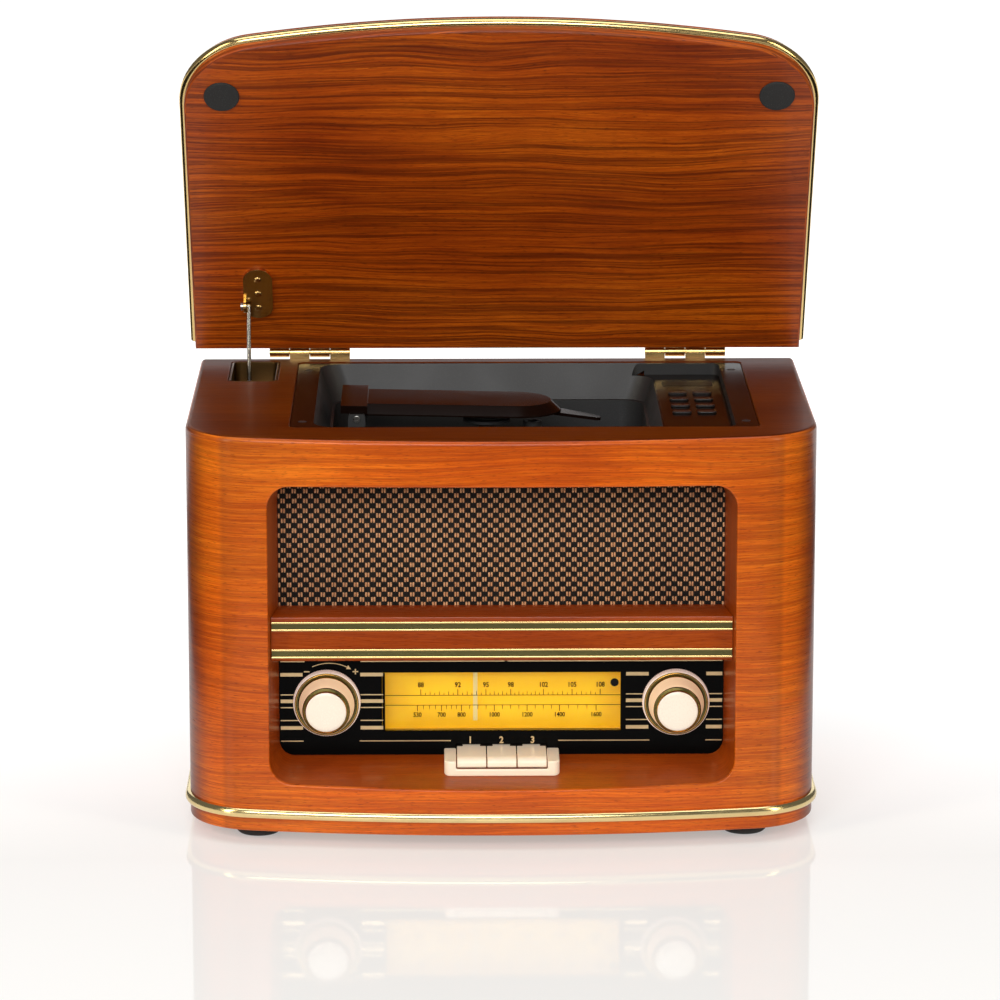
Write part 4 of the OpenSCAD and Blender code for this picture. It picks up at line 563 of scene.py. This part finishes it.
def rect_ring(ax, low, high, r, nx, nz):
    """Rounded rectangle as (x, z), counter-clockwise from the lower left corner's middle.

    Each side has nx or nz points, of which up to five lie in each half corner.
    """
    cz, az = (low + high) / 2, (high - low) / 2
    out = []
    sides = [(nx, 2 * (ax - r)), (nz, 2 * (az - r))] * 2
    corners = [(-ax + r, -az + r), (ax - r, -az + r), (ax - r, az - r), (-ax + r, az - r)]
    la = r * pi / 4
    for side, (n, straight) in enumerate(sides):
        total = straight + 2 * la
        start = pi * 1.25 + side * pi / 2
        (x0, z0), (x1, z1) = corners[side], corners[(side + 1) % 4]
        q = min(5, n // 4)
        for k in range(n):
            s = la * k / q if k < q else (total - la * (n - k) / q if k > n - q else
                la + straight * (k - q) / (n - 2 * q))
            if s < la:
                a = start + s / r
                out.append((x0 + r * cos(a), cz + z0 + r * sin(a)))
            elif s > total - la:
                a = start + pi / 4 + (s - total + la) / r
                out.append((x1 + r * cos(a), cz + z1 + r * sin(a)))
            else:
                a, f = start + pi / 4, (s - la) / straight
                out.append((x0 + (x1 - x0) * f + r * cos(a), cz + z0 + (z1 - z0) * f + r * sin(a)))
    return out


def opening(y, g=0.0):
    """The tapered opening's outline at the depth y, larger by g."""
    f = y / RECESS
    return rect_ring(OPEN_HALF - 6 * f + g, OPEN_LOW + 8 * f - g, OPEN_HIGH - 6.4 * f + g,
        OPEN_R - 5 * f + g, NB, NZ)


def opening_behind(depth, g=0.0):
    """The opening's outline at a depth behind the bowed surface."""
    ring = []
    for i, (x, z) in enumerate(opening(0, g)):
        for _ in range(4):
            y = max(0.0, bow(x) + depth)
            x, z = opening(y, g)[i]
        ring.append((x, bow(x) + depth, z))
    return ring


def flat_with_holes(outer, holes, z, mat=0):
    """A level face with holes, filled with triangles."""
    bm = bmesh.new()
    edges = []
    for ring in [outer] + holes:
        vs = [bm.verts.new((x, y, z)) for x, y in ring]
        edges += [bm.edges.new((vs[i], vs[(i + 1) % len(vs)])) for i in range(len(vs))]
    bmesh.ops.triangle_fill(bm, use_beauty=True, edges=edges, normal=(0, 0, 1))
    return parted(bm, mat)


def round_rect(x0, x1, y0, y1, r, n=6):
    """Rounded rectangle as (x, y), with n steps round each corner."""
    middles = ((x1 - r, y1 - r), (x0 + r, y1 - r), (x0 + r, y0 + r), (x1 - r, y0 + r))
    out = []
    for quarter, (cx, cy) in enumerate(middles):
        for k in range(n + 1):
            a = (quarter + k / n) * pi / 2
            out.append((cx + r * cos(a), cy + r * sin(a)))
    return out


# Cabinet body

def wall_uv(k, i, p):
    """The grain runs round the wall, level."""
    return (S[min(i, len(S) - 1)], p[2])


def cabinet_parts():
    r_top, r_low = 3.0, 1.2
    rings = [[(x, y, FOOT) for x, y in plan_path(-r_low)]]
    for inset, up in reversed(arc(r_low, 3)[:-1]):
        rings.append([(x, y, FOOT + r_low - up) for x, y in plan_path(-inset)])
    z0, z1 = FOOT + r_low, TOP - r_top
    for k in range(1, NZ + 1):
        z = z0 + (z1 - z0) * k / NZ
        rings.append([(x, y, z) for x, y in plan_path(0)])
    for inset, up in arc(r_top, 5)[1:]:
        rings.append([(x, y, z1 + up) for x, y in plan_path(-inset)])
    wall0, wall1 = 3, 3 + NZ
    back0 = 2 * (NS + NC) + NB

    def skip(k, i):
        if wall0 <= k < wall1:
            return FIRST <= i < LAST or i >= back0
        return i >= back0 and k < wall0

    parts = [loft(rings, uv=wall_uv, skip=skip)]
    # Bowed front with the opening
    edge = [(x, z) for x, y, z in rings[wall0][FIRST:LAST]]
    edge += [(rings[wall0 + k][LAST][0], rings[wall0 + k][LAST][2]) for k in range(NZ)]
    edge += [(rings[wall1][LAST - k][0], z1) for k in range(NB)]
    edge += [(rings[wall1 - k][FIRST][0], rings[wall1 - k][FIRST][2]) for k in range(NZ)]
    er = 0.9
    loops = [opening_behind(2.3), opening_behind(er)]
    for a in (0.33, 0.66, 1.0):
        loops.append(opening_behind(er * (1 - sin(a * pi / 2)), er * (1 - cos(a * pi / 2))))
    hole = [(x, z) for x, y, z in loops[-1]]
    for f in (0.03, 0.10, 0.25, 0.5, 0.75, 1.0):
        loops.append([(hx + (ex - hx) * f, bow(hx + (ex - hx) * f), hz + (ez - hz) * f)
            for (hx, hz), (ex, ez) in zip(hole, edge)])
    mid = (S[FIRST] + S[LAST]) / 2
    parts.append(loft(loops, uv=lambda k, i, p: (mid + BOW_R * math.asin(p[0] / BOW_R), p[2])))
    # Back rim round the rear cover, and the walls' inner faces
    for side in (-1, 1):
        parts.append(loft([[(side * HALF, DEEP, z), (side * COVER_HALF, DEEP, z),
            (side * COVER_HALF, COVER_FACE, z)] for z in (z0, z1)], closed=False))
    parts.append(loft([[(x, DEEP, z1), (x, DEEP, COVER_TOP), (x, COVER_FACE, COVER_TOP)]
        for x in (-COVER_HALF, COVER_HALF)], closed=False))
    inner = plan_path(-WALL, closed=False)
    parts.append(loft([[(x, min(y, DEEP), FOOT) for x, y in plan_path(-r_low, closed=False)],
        [(x, y, FOOT) for x, y in inner], [(x, y, COVER_TOP) for x, y in inner]], closed=False,
        skip=lambda k, i: k == 1 and FIRST <= i < LAST))
    # Top with the deck's and the stay pocket's holes
    deck_well, stay_hole = (-120.4, 146.9, 39.6, 229.4, 4.4, 3), (-160.8, -131.7, 171.7, 233.3, 5.3, 12)
    holes, hole_parts = [], []
    for x0, x1, y0, y1, r, deep in (deck_well, stay_hole):
        steps = [round_rect(x0 - er + i, x1 + er - i, y0 - er + i, y1 + er - i, r + er - i)
            for i in (0, er * 0.3, er * 0.7, er)]
        drops = (0, er * 0.05, er * 0.35, er)
        holes.append(steps[0])
        rr = [[(x, y, TOP - d) for x, y in ring] for ring, d in zip(steps, drops)]
        rr.append([(x, y, TOP - deep) for x, y in steps[-1]])
        hole_parts.append(loft(rr, mat=1))
    parts.append(flat_with_holes([(x, y) for x, y, z in rings[-1]], holes, TOP, 1))
    return parts + hole_parts


def top_material(o):
    """The top face and its rounded edge take the top's veneer."""
    for p in o.data.polygons:
        if p.normal.z > 0.72 and p.center.z > 0.2:
            p.material_index = 1


cabinet = build("cabinet_shell", "cabinet", ["front", "top"], cabinet_parts(),
    ["cabinet_body"], mods=[FLAT])
top_material(cabinet)


# Lining of the opening

def lining_parts():
    front = opening_behind(2.0)
    back = [(x, RECESS, z) for x, z in opening(RECESS)]
    per = [0.0]
    for a, b in zip(front, front[1:] + front[:1]):
        per.append(per[-1] + math.dist(a, b))
    rings = [[(x * 1.008, y, z) for x, y, z in opening_behind(2.3, 2.0)], front]
    for k in range(1, 13):
        f = k / 12
        rings.append([tuple(a + (b - a) * f for a, b in zip(p, q)) for p, q in zip(front, back)])
    rings.append([(x, RECESS, z) for x, z in opening(RECESS, 6.0)])
    return [loft(rings, uv=lambda k, i, p: (per[i], p[1]))]


build("opening_lining", "cabinet", ["lining"], lining_parts(), ["front_lining"],
    smooth=50)


# Cross bar with two channel strips

def bar_parts():
    r = 0.8
    profile = [(RECESS, BAR_LOW), (BAR_FRONT + r, BAR_LOW), (BAR_FRONT, BAR_LOW + r),
        (BAR_FRONT, BAR_HIGH - r), (BAR_FRONT + r * 0.3, BAR_HIGH - r * 0.3), (BAR_FRONT + r, BAR_HIGH),
        (RECESS, BAR_HIGH)]
    rings = [[(f * (OPEN_HALF - BAR_TAPER * y - 0.3), y, z) for y, z in profile]
        for f in (-1, -0.75, -0.5, -0.25, 0, 0.25, 0.5, 0.75, 1)]
    return [loft(rings, caps=(0, 1), uv=lambda k, i, p: (p[0], p[1] + p[2]))]


build("cross_bar_piece", "cabinet", ["bar"], bar_parts(), ["cross_bar"], smooth=40)


def strip_parts():
    """Two channels: brass rims with an olive floor between them."""
    parts = []
    half = OPEN_HALF - BAR_TAPER * BAR_FRONT - 0.6
    floor_y = 19.35
    profile = [(19.98, 0), (18.9, 0), (18.78, 0.15), (18.78, 0.85), (18.95, 1.0), (floor_y, 1.05),
        (floor_y, 4.15), (18.95, 4.2), (18.78, 4.35), (18.78, 5.05), (18.9, 5.2), (19.98, 5.2)]
    for low in (2.0, 18.0):
        rings = [[(half * f, y, BAR_LOW + low + h) for y, h in profile] for f in (-1, -0.5, 0, 0.5, 1)]
        v, f, u, _ = loft(rings, caps=(0, 1))
        m = [1 if abs(sum(v[i][1] for i in q) / len(q) - floor_y) < 0.01 else 0 for q in f]
        parts.append((v, f, u, m))
    return parts


build("bar_channels", "cabinet", ["gold", "olive"], strip_parts(), ["bar_strips"], smooth=50)


# Lid, brass moulding, base strip

def lid_parts():
    rb, rt, groove = 1.2, 2.6, 1.0

    def at(inset, z):
        rear = LID_BACK - inset
        return [(x, min(y, rear), z) for x, y in plan_path(LID_OVER - inset, rear)]

    rings = [at(rb, LID_LOW)]
    rings += [at(i, LID_LOW + rb - up) for i, up in reversed(arc(rb, 3)[:-1])]
    rings += [at(0, MOULDING_LOW), at(groove, MOULDING_LOW + 0.02), at(groove, MOULDING_HIGH - 0.02),
        at(0, MOULDING_HIGH), at(0, LID_HIGH - rt)]
    rings += [at(i, LID_HIGH - rt + up) for i, up in arc(rt, 4)[1:]]
    parts = [loft(rings, uv=wall_uv)]
    for ring, z in ((rings[0], LID_LOW), (rings[-1], LID_HIGH)):
        parts.append(flat_with_holes([(x, y) for x, y, _ in ring], [], z))
    return parts


build("lid_board", "lid", ["lid"], lid_parts(), ["lid_panel"], lid=True, mods=[FLAT])


def swept(profile, back):
    """A moulding round the front and both sides: profile is (out, z)."""
    rings = [[(x, y, z) for x, y in plan_path(out, back, closed=False)] for out, z in profile]
    return loft([list(column) for column in zip(*rings)], caps=(0, 1))


moulding = [(2.24, 244.55), (LID_OVER, MOULDING_LOW)] + [
    (LID_OVER + 3 * sin(pi * k / 12), MOULDING_MID - 3 * cos(pi * k / 12)) for k in range(1, 12)
    ] + [(LID_OVER, MOULDING_HIGH), (2.24, 250.45)]
build("lid_brass", "lid", ["gold"], [swept(moulding, LID_BACK - 2)], ["lid_moulding"],
    lid=True, smooth=60)

strip = [(0.02, 15.7)] + [(3.0 * sin(pi * k / 14) ** 0.8, 18.7 - 3 * cos(pi * k / 14))
    for k in range(1, 14)] + [(0.02, 21.7)]
build("base_brass", "cabinet", ["trim"], [swept(strip, DEEP)], ["base_strip"], smooth=60)


# Grille cloth: pairs of raised strands in a chequer, over a darker ground

STITCH = parted(grid(4))


def strand(x, y, z, w, h, rise, mat):
    """A raised stitch: the unit grid domed across and narrowed towards its ends."""
    def placed(u, v):
        lift = rise * math.sqrt(max(0.0, 1 - u * u)) * (1 - 0.55 * v * v)
        return (x + u * w / 2 * (1 - 0.24 * v * v), y - lift, z + v * h / 2)

    corners, faces, uvs, _ = STITCH
    return [placed(u, v) for u, v, _ in corners], faces, uvs, [mat] * len(faces)


def cloth_parts():
    tan, black, grey = 0, 1, 2
    width, height, rise = (1.12, 1.45), (2.6, 3.0), (0.7, 0.45)  # of a tan and of a black strand
    v, f, u, _ = parted(grid(1, (0, (CLOTH_LOW + CLOTH_HIGH) / 2, 0),
        (CLOTH_HALF, (CLOTH_HIGH - CLOTH_LOW) / 2)))
    parts = [([(x, CLOTH_FACE, z) for x, z, _ in v], f, u, [grey])]
    z, row = 120.8, 0
    while z < 205.2:
        for c in range(-21, 21):
            for kind in (tan, black):
                x = 6.4 * c + 3.2 * kind + 3.2 * (row % 2) + random.uniform(-0.12, 0.12)
                if abs(x) > 131:
                    continue
                for s in (-1, 1):
                    parts.append(strand(x + s * 0.74, 48.02, z + random.uniform(-0.08, 0.08), width[kind],
                        height[kind] + random.uniform(-0.1, 0.15), rise[kind], kind))
                parts.append(strand(x + 1.6, 47.95, z, 0.34, 2.7, 0.3, grey))
        z += 2.9
        row += 1
    return parts


build("grille_weave", "cabinet", ["yarn_tan", "yarn_black", "yarn_grey"], cloth_parts(),
    ["grille_cloth"], smooth=70, weld=1e-9, normals=False)


# Dial: black panel with gold lines, clear window with the scales, lit board behind it

refine("dial_panel", ["dial"], 0.3, 1)


def bar_box(x0, x1, z0, z1, y, mat=0):
    """A thin raised bar on the plane y, open at the back."""
    return block(x0, x1, y - 0.05, y, z0, z1, y, mat=mat)


def gold_lines():
    parts = []
    thin, thick = 0.6, 2.1
    lines = ((90.5, thin, "top"), (82.7, thick, "both"), (70.7, thin, "both"), (66.9, thick, "both"),
        (63.1, thin, "both"), (55.4, thin, "both"), (51.0, thick, "both"), (43.1, thin, "lower"))
    # How far a line runs outwards from the middle, on either side of a knob
    spans = {"both": [(70.0, 83.0), (116.2, DIAL_HALF)], "lower": [(31.0, 83.6), (116.0, DIAL_HALF)]}
    tops = {-1: [(-PRINT_SHIFT, 82.8), (115.0, DIAL_HALF)], 1: [(0, DIAL_HALF)]}
    for side in (-1, 1):
        for z, t, which in lines:
            for a, b in (tops[side] if which == "top" else spans[which]):
                x0, x1 = sorted((side * a, side * b))
                x0, x1 = x0 + PRINT_SHIFT * (x0 > -127), min(DIAL_HALF, x1 + PRINT_SHIFT)
                parts.append(bar_box(x0, x1, FOOT + z - t / 2, FOOT + z + t / 2, PANEL + 0.02))
    # Volume arc with its arrow, minus and plus
    cx, cz, r, y = -99.0, 66.2, 23.3, PANEL - 0.03
    turns = [math.radians(-25 + 51 * k / 24) for k in range(25)]
    parts.append(loft([[(cx + (r + d) * sin(a), y, FOOT + cz + (r + d) * cos(a)) for a in turns]
        for d in (0.22, -0.22)], closed=False))
    tip, root, half = math.radians(32.5), math.radians(26), 1.3
    arrow = [(cx + q * sin(a), y, FOOT + cz + q * cos(a))
        for a, q in ((tip, r), (root, r + half), (root, r - half))]
    parts.append((arrow, [(0, 1, 2)], [None], [0]))
    for x in (-112.0, -84.0):
        parts.append(bar_box(x - 1.6, x + 1.6, FOOT + 84.1, FOOT + 84.8, PANEL + 0.02))
    parts.append(bar_box(-84.35, -83.65, FOOT + 82.85, FOOT + 86.05, PANEL + 0.02))
    return parts


def text_part(body, x, z, size, y):
    """Plain digits as a flat mesh standing in the dial's plane."""
    c = bpy.data.curves.new("digits", "FONT")
    c.body, c.size, c.align_x, c.align_y = body, size, "CENTER", "CENTER"
    c.resolution_u, c.offset = 3, 0.03 * size
    o = bpy.data.objects.new("digits", c)
    bpy.context.scene.collection.objects.link(o)
    bpy.context.view_layer.update()
    me = bpy.data.meshes.new_from_object(o.evaluated_get(bpy.context.evaluated_depsgraph_get()))
    verts = [(x + v.co.x * 0.86, y, z + v.co.y) for v in me.vertices]
    faces = [tuple(p.vertices) for p in me.polygons]
    bpy.data.objects.remove(o)
    bpy.data.curves.remove(c)
    bpy.data.meshes.remove(me)
    return verts, faces, [None] * len(faces), [0] * len(faces)


digits = [text_part(str(i), x, DIGIT_Z, 5.6, PANEL - 0.04) for i, x in enumerate(KEY_DIGITS, 1)]
build("gold_print", "cabinet", ["print"], gold_lines() + digits, normals=False, weld=1e-9)


def scale_parts():
    """Three level lines, two rows of marks with their numbers, and a dark strip down the window's left
    edge.
    """
    y = PANEL + 0.14
    parts = [bar_box(-WINDOW_HALF, WINDOW_HALF, FOOT + low, FOOT + high, y)
        for low, high in ((70.0, 70.35), (64.15, 64.5), (49.9, 50.3))]

    def mark(x, half, base, height):
        """A mark that stands on its line, or hangs from it where its height is negative."""
        parts.append(bar_box(x - half, x + half, *sorted((FOOT + base, FOOT + base + height)), y))

    upper = ((88, -46.4), (92, -25.1), (95, -8.9), (98, 5.4), (102, 24.2), (105, 40.7), (108, 56.9))
    lower = ((530, -48.4), (700, -34.5), (800, -23.0), (1000, -4.1), (1200, 14.8), (1400, 33.5),
        (1600, 54.6))
    # Each row: marks, line, direction, height and size of the numbers, steps between two numbers
    rows = ((upper, 70.3, 1, 76.3, 4.1, lambda a, b: 2 * (b - a)),
        (lower, 64.2, -1, 58.5, 3.7, lambda a, b: 4))
    for marks, base, sign, text_z, size, steps_of in rows:
        for k, (n, x) in enumerate(marks):
            mark(x, 0.2, base, sign * 3.4)
            parts.append(text_part(str(n), x, FOOT + text_z, size, y - 0.05))
            if k + 1 < len(marks):
                after, x_after = marks[k + 1]
                steps = steps_of(n, after)
                for j in range(1, steps):
                    long = j % 2 == 0 or sign < 0
                    mark(x + (x_after - x) * j / steps, 0.16, base, sign * (2.2 if long else 1.4))
    parts.append(bar_box(-WINDOW_HALF, -67.0, WINDOW_LOW, WINDOW_HIGH, y + 0.05, mat=1))
    return parts


build("scale_marks", "cabinet", ["ink", "dial"], scale_parts(), normals=False,
    weld=1e-9)


def window_parts():
    """The clear pane, with the dark dot of the tuning lamp on it."""
    pane = [[(x, y, z) for x, z in rect_ring(WINDOW_HALF, WINDOW_LOW, WINDOW_HIGH, 0.5, 12, 6)]
        for y in (48.3, 50.2)]
    dot = [(2.4, 0, 1), (2.4, 0.175, 1), (1.92, 0.315, 1), (0.96, 0.35, 1)]
    return [loft(pane, caps=(0, 1)), spun(65.2, FOOT + 77.6, 48.28, dot, 24, ends=(3,))]


build("dial_glass", "cabinet", ["pane", "screen"], window_parts(), ["dial_window"],
    smooth=40)


refine("dial_backplate", ["dull_steel"], 0.2, 1)


def light_box():
    """Lit board just behind the window's frame, whose walls glow with the same painted light, so that no
    dark gap shows.
    """
    half_x, half_z, near, far, middle = 69.6, 18.6, 51.3, 60.0, FOOT + 66.35
    return [block(-half_x, half_x, near, far, middle - half_z, middle + half_z, near, inward=True,
        uv=lambda p: (p.x, p.z - middle))]


build("light_box", "cabinet", ["lit"], light_box(), smooth=30, normals=False)


# Knobs

CAP, GOLD, OLIVE, RIM, BRASS, CONE = range(6)
KNOB_MATS = ["cap", "gold", "olive", "knurl", "brass", "peach"]
KNOB = [(19.2, 0, RIM), (19.5, 0.3, RIM), (19.45, 1.5, RIM), (19.2, 4.2, RIM), (18.95, 5.0, RIM),
    (18.5, 5.35, OLIVE), (17.9, 5.45, GOLD), (17.6, 5.3, OLIVE), (17.3, 4.7, OLIVE), (16.7, 4.7, OLIVE),
    (16.5, 5.0, BRASS), (16.3, 5.3, BRASS), (15.9, 6.4, CONE), (15.2, 10.0, CONE), (14.6, 14.0, CONE),
    (14.1, 18.2, CONE), (13.7, 19.4, OLIVE), (13.3, 20.0, OLIVE), (12.95, 20.1, GOLD),
    (12.7, 19.6, OLIVE), (12.3, 19.5, OLIVE), (12.0, 19.7, GOLD), (11.95, 21.0, GOLD),
    (11.8, 22.2, GOLD), (11.55, 22.6, CAP), (11.1, 22.9, CAP), (9.5, 23.2, CAP), (7.0, 23.38, CAP),
    (3.5, 23.48, CAP), (0.8, 23.5, CAP)]
for name, side in (("volume", -1), ("tuning", 1)):
    build(name + "_knob_piece", name, KNOB_MATS,
        [spun(side * KNOB_X, KNOB_Z, KNOB_SEAT, KNOB, 240, ends=(0, len(KNOB) - 1), knurl=0.28)],
        [name + "_knob"], smooth=50)


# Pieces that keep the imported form, with rounded edges and their own finish

def dark_flange(c, n):
    """The deck tray's rim and ledge are glossy."""
    return 1 if c[2] > 236.6 or (c[2] > 229 and n.z > 0.9) else 0


refine("bottom_board", ["board"], 0.4)
refine("feet", ["rubber"], 0.5)
refine("cabinet_screws", ["black"], 0.12, 1)
refine("rear_cover", ["black"], 0.4)
refine("hinge_leaves_body", ["brass"], 0.25)
refine("hinge_leaves_lid", ["brass"], 0.25)
refine("hinge_pins", ["brass"], 0.3)
refine("stay_pocket", ["pocket"], 0.4)
refine("stay_slot_plate", ["dull_steel"], 0.2, 1)
refine("baffle_board", ["board"], 0.3, 1)
refine("key_surround", ["cream"], 0.7, 3)
refine("key_switches", ["black"], 0.2, 1)
refine("volume_pot", ["dull_steel"], 0.2, 1)
refine("tuning_capacitor", ["dull_steel"], 0.2, 1)
refine("speaker_frames", ["dull_steel"], 0.2, 1)
refine("speaker_cones", ["cone"], 0.0)
refine("main_board", ["pcb"], 0.2, 1)
refine("transformer", ["dull_steel"], 0.4, 1)
refine("mains_inlet", ["black"], 0.3)
refine("deck_tray", ["deck", "deck_gloss"], 0.7, 3, pick=dark_flange)
refine("control_panel", ["deck_gloss"], 0.25)
refine("display_window", ["screen"], 0.2)
refine("cd_chassis", ["dull_steel"], 0.2, 1)
refine("spindle_motor", ["dull_steel"], 0.3, 1)
refine("sled_rails", ["steel"], 0.2, 1)
refine("cover_pin", ["steel"], 0.3, 1)
refine("lid_bumpers", ["rubber"], 0.3)
refine("stay_bracket", ["brass"], 0.35)
refine("lid_screws", ["brass"], 0.12, 1)
refine("stay_rod", ["steel"], 0.0)
refine("tuning_drum", ["black"], 0.2, 1)
refine("dial_pointer", ["pointer"], 0.2, 1)
for k in (1, 2, 3):
    refine("key_%d" % k, ["cream"], 0.5, 3)
refine("cd_cover", ["cover"], 0.6, 3)
refine("clamp_puck", ["black"], 0.3, 1)
refine("spindle_hub", ["black"], 0.3, 1)
refine("laser_sled", ["black"], 0.3, 1)
for k in range(1, 9):
    refine("deck_button_%d" % k, ["button"], 0.5, 3)


# Floor, world, lights, camera

def card(name, x0, x1, y0, y1, z, material):
    """A level rectangle of the stage, in metres."""
    me = bpy.data.meshes.new(name)
    bm = grid(1, ((x0 + x1) / 2, (y0 + y1) / 2, z), ((x1 - x0) / 2, (y1 - y0) / 2))
    bm.to_mesh(me)
    bm.free()
    me.materials.append(material)
    o = bpy.data.objects.new(name, me)
    bpy.context.scene.collection.objects.link(o)
    return o


def floor_white():
    """Pale floor with a soft shine and a painted glow, which grows with the distance behind the object
    and dips just in front of it as painted shade.
    """
    w = Mat("floor_white", Roughness=0.04, IOR=1.2, Emission_Color=(1, 1, 1))
    deep = w.node("SeparateXYZ", i0=w.object()).outputs[1]
    # Painted glow and painted shade: dimmest just in front of the cabinet, brightest far behind it
    glow = w.ramp(w.math("MULTIPLY_ADD", deep, 0.25, 0.25), (0.10, 0.37), (0.215, 0.31),
        (0.27, 0.50), (0.38, 0.74), (0.7, 0.95))
    w.set(Base_Color=w.ramp(w.noise(w.object(), 3.0, 2.0), (0.3, 0.66), (0.7, 0.67)),
        Emission_Strength=glow)
    return w.m


def flag_dark():
    w = Mat("flag_dark", Roughness=0.9, Specular_IOR_Level=0.0)
    w.set(Base_Color=w.ramp(w.noise(w.object(), 4.0, 2.0), (0.3, 0.010), (0.7, 0.016)))
    return w.m


card("floor", -9, 9, -6, 22, 0, floor_white())
# Dark cards on the floor that the camera doesn't see: they deepen the cabinet's edges
dark = flag_dark()
for name, *extent in (("flag_left", -2.4, -0.44, -1.4, 0.7), ("flag_right", 0.44, 2.4, -1.4, 0.7),
        ("flag_front", -0.43, 0.43, -3.0, -0.62)):
    flag = card(name, *extent, 0.002, dark)
    flag.visible_camera = flag.visible_shadow = False

# World: white where the camera sees it, dim as a light
world = bpy.data.worlds.new("studio")
bpy.context.scene.world = world
world.use_nodes = True
wt = world.node_tree
bg = wt.nodes["Background"]
bg.inputs[0].default_value = (1, 1, 1, 1)
path = wt.nodes.new("ShaderNodeLightPath")
seen = wt.nodes.new("ShaderNodeMapRange")
wt.links.new(path.outputs["Is Camera Ray"], seen.inputs[0])
seen.inputs[3].default_value = 0.14
seen.inputs[4].default_value = 1.0
wt.links.new(seen.outputs[0], bg.inputs[1])


def area(name, at, to, size, power, color=(1, 1, 1)):
    """A rectangular lamp at one point, aimed at another."""
    data = bpy.data.lights.new(name, "AREA")
    data.shape, data.size, data.size_y = "RECTANGLE", *size
    data.energy, data.color = power, color
    o = bpy.data.objects.new(name, data)
    o.location = at
    o.rotation_euler = (Vector(to) - Vector(at)).to_track_quat("-Z", "Y").to_euler()
    bpy.context.scene.collection.objects.link(o)


WARM = (1, 0.90, 0.68)
area("strip_left", (-1.75, -1.35, 0.8), (0, 0, 0.15), (0.35, 1.8), 15, WARM)
area("strip_right", (1.75, -1.35, 0.8), (0, 0, 0.15), (0.35, 1.8), 13, WARM)
area("overhead", (0, -0.3, 2.3), (0, 0, 0.1), (2.4, 1.2), 19)
area("front_key", (-0.5, -3.3, 1.7), (0, 0, 0.2), (2.2, 1.3), 64)
area("back_card", (0, 3.2, 1.0), (0, 0, 0.9), (2.8, 1.5), 13)

# Camera, fitted to the photo's edges: focal length in pixels of the picture, and its place
FOCAL, PICTURE, SENSOR = 4847, 1000, 36.0
CAM_X, CAM_Y, CAM_Z = -33.3, -2650, 798.5 + FOOT
cam = bpy.data.cameras.new("camera")
cam.sensor_width, cam.lens = SENSOR, FOCAL * SENSOR / PICTURE
cam.clip_end = 60
eye = bpy.data.objects.new("camera", cam)
tilt, yaw = math.radians(12.80), math.radians(0.69)
forward = Vector((sin(yaw) * cos(tilt), cos(yaw) * cos(tilt), -sin(tilt)))
right = Vector((cos(yaw), -sin(yaw), 0))
up = right.cross(forward)
turned = Matrix((right, up, -forward)).transposed().to_4x4()
eye.matrix_world = Matrix.Translation(Vector((CAM_X, CAM_Y - BACK, CAM_Z)) * 0.001) @ turned
bpy.context.scene.collection.objects.link(eye)
bpy.context.scene.camera = eye
bpy.context.scene.view_settings.view_transform = "Standard"
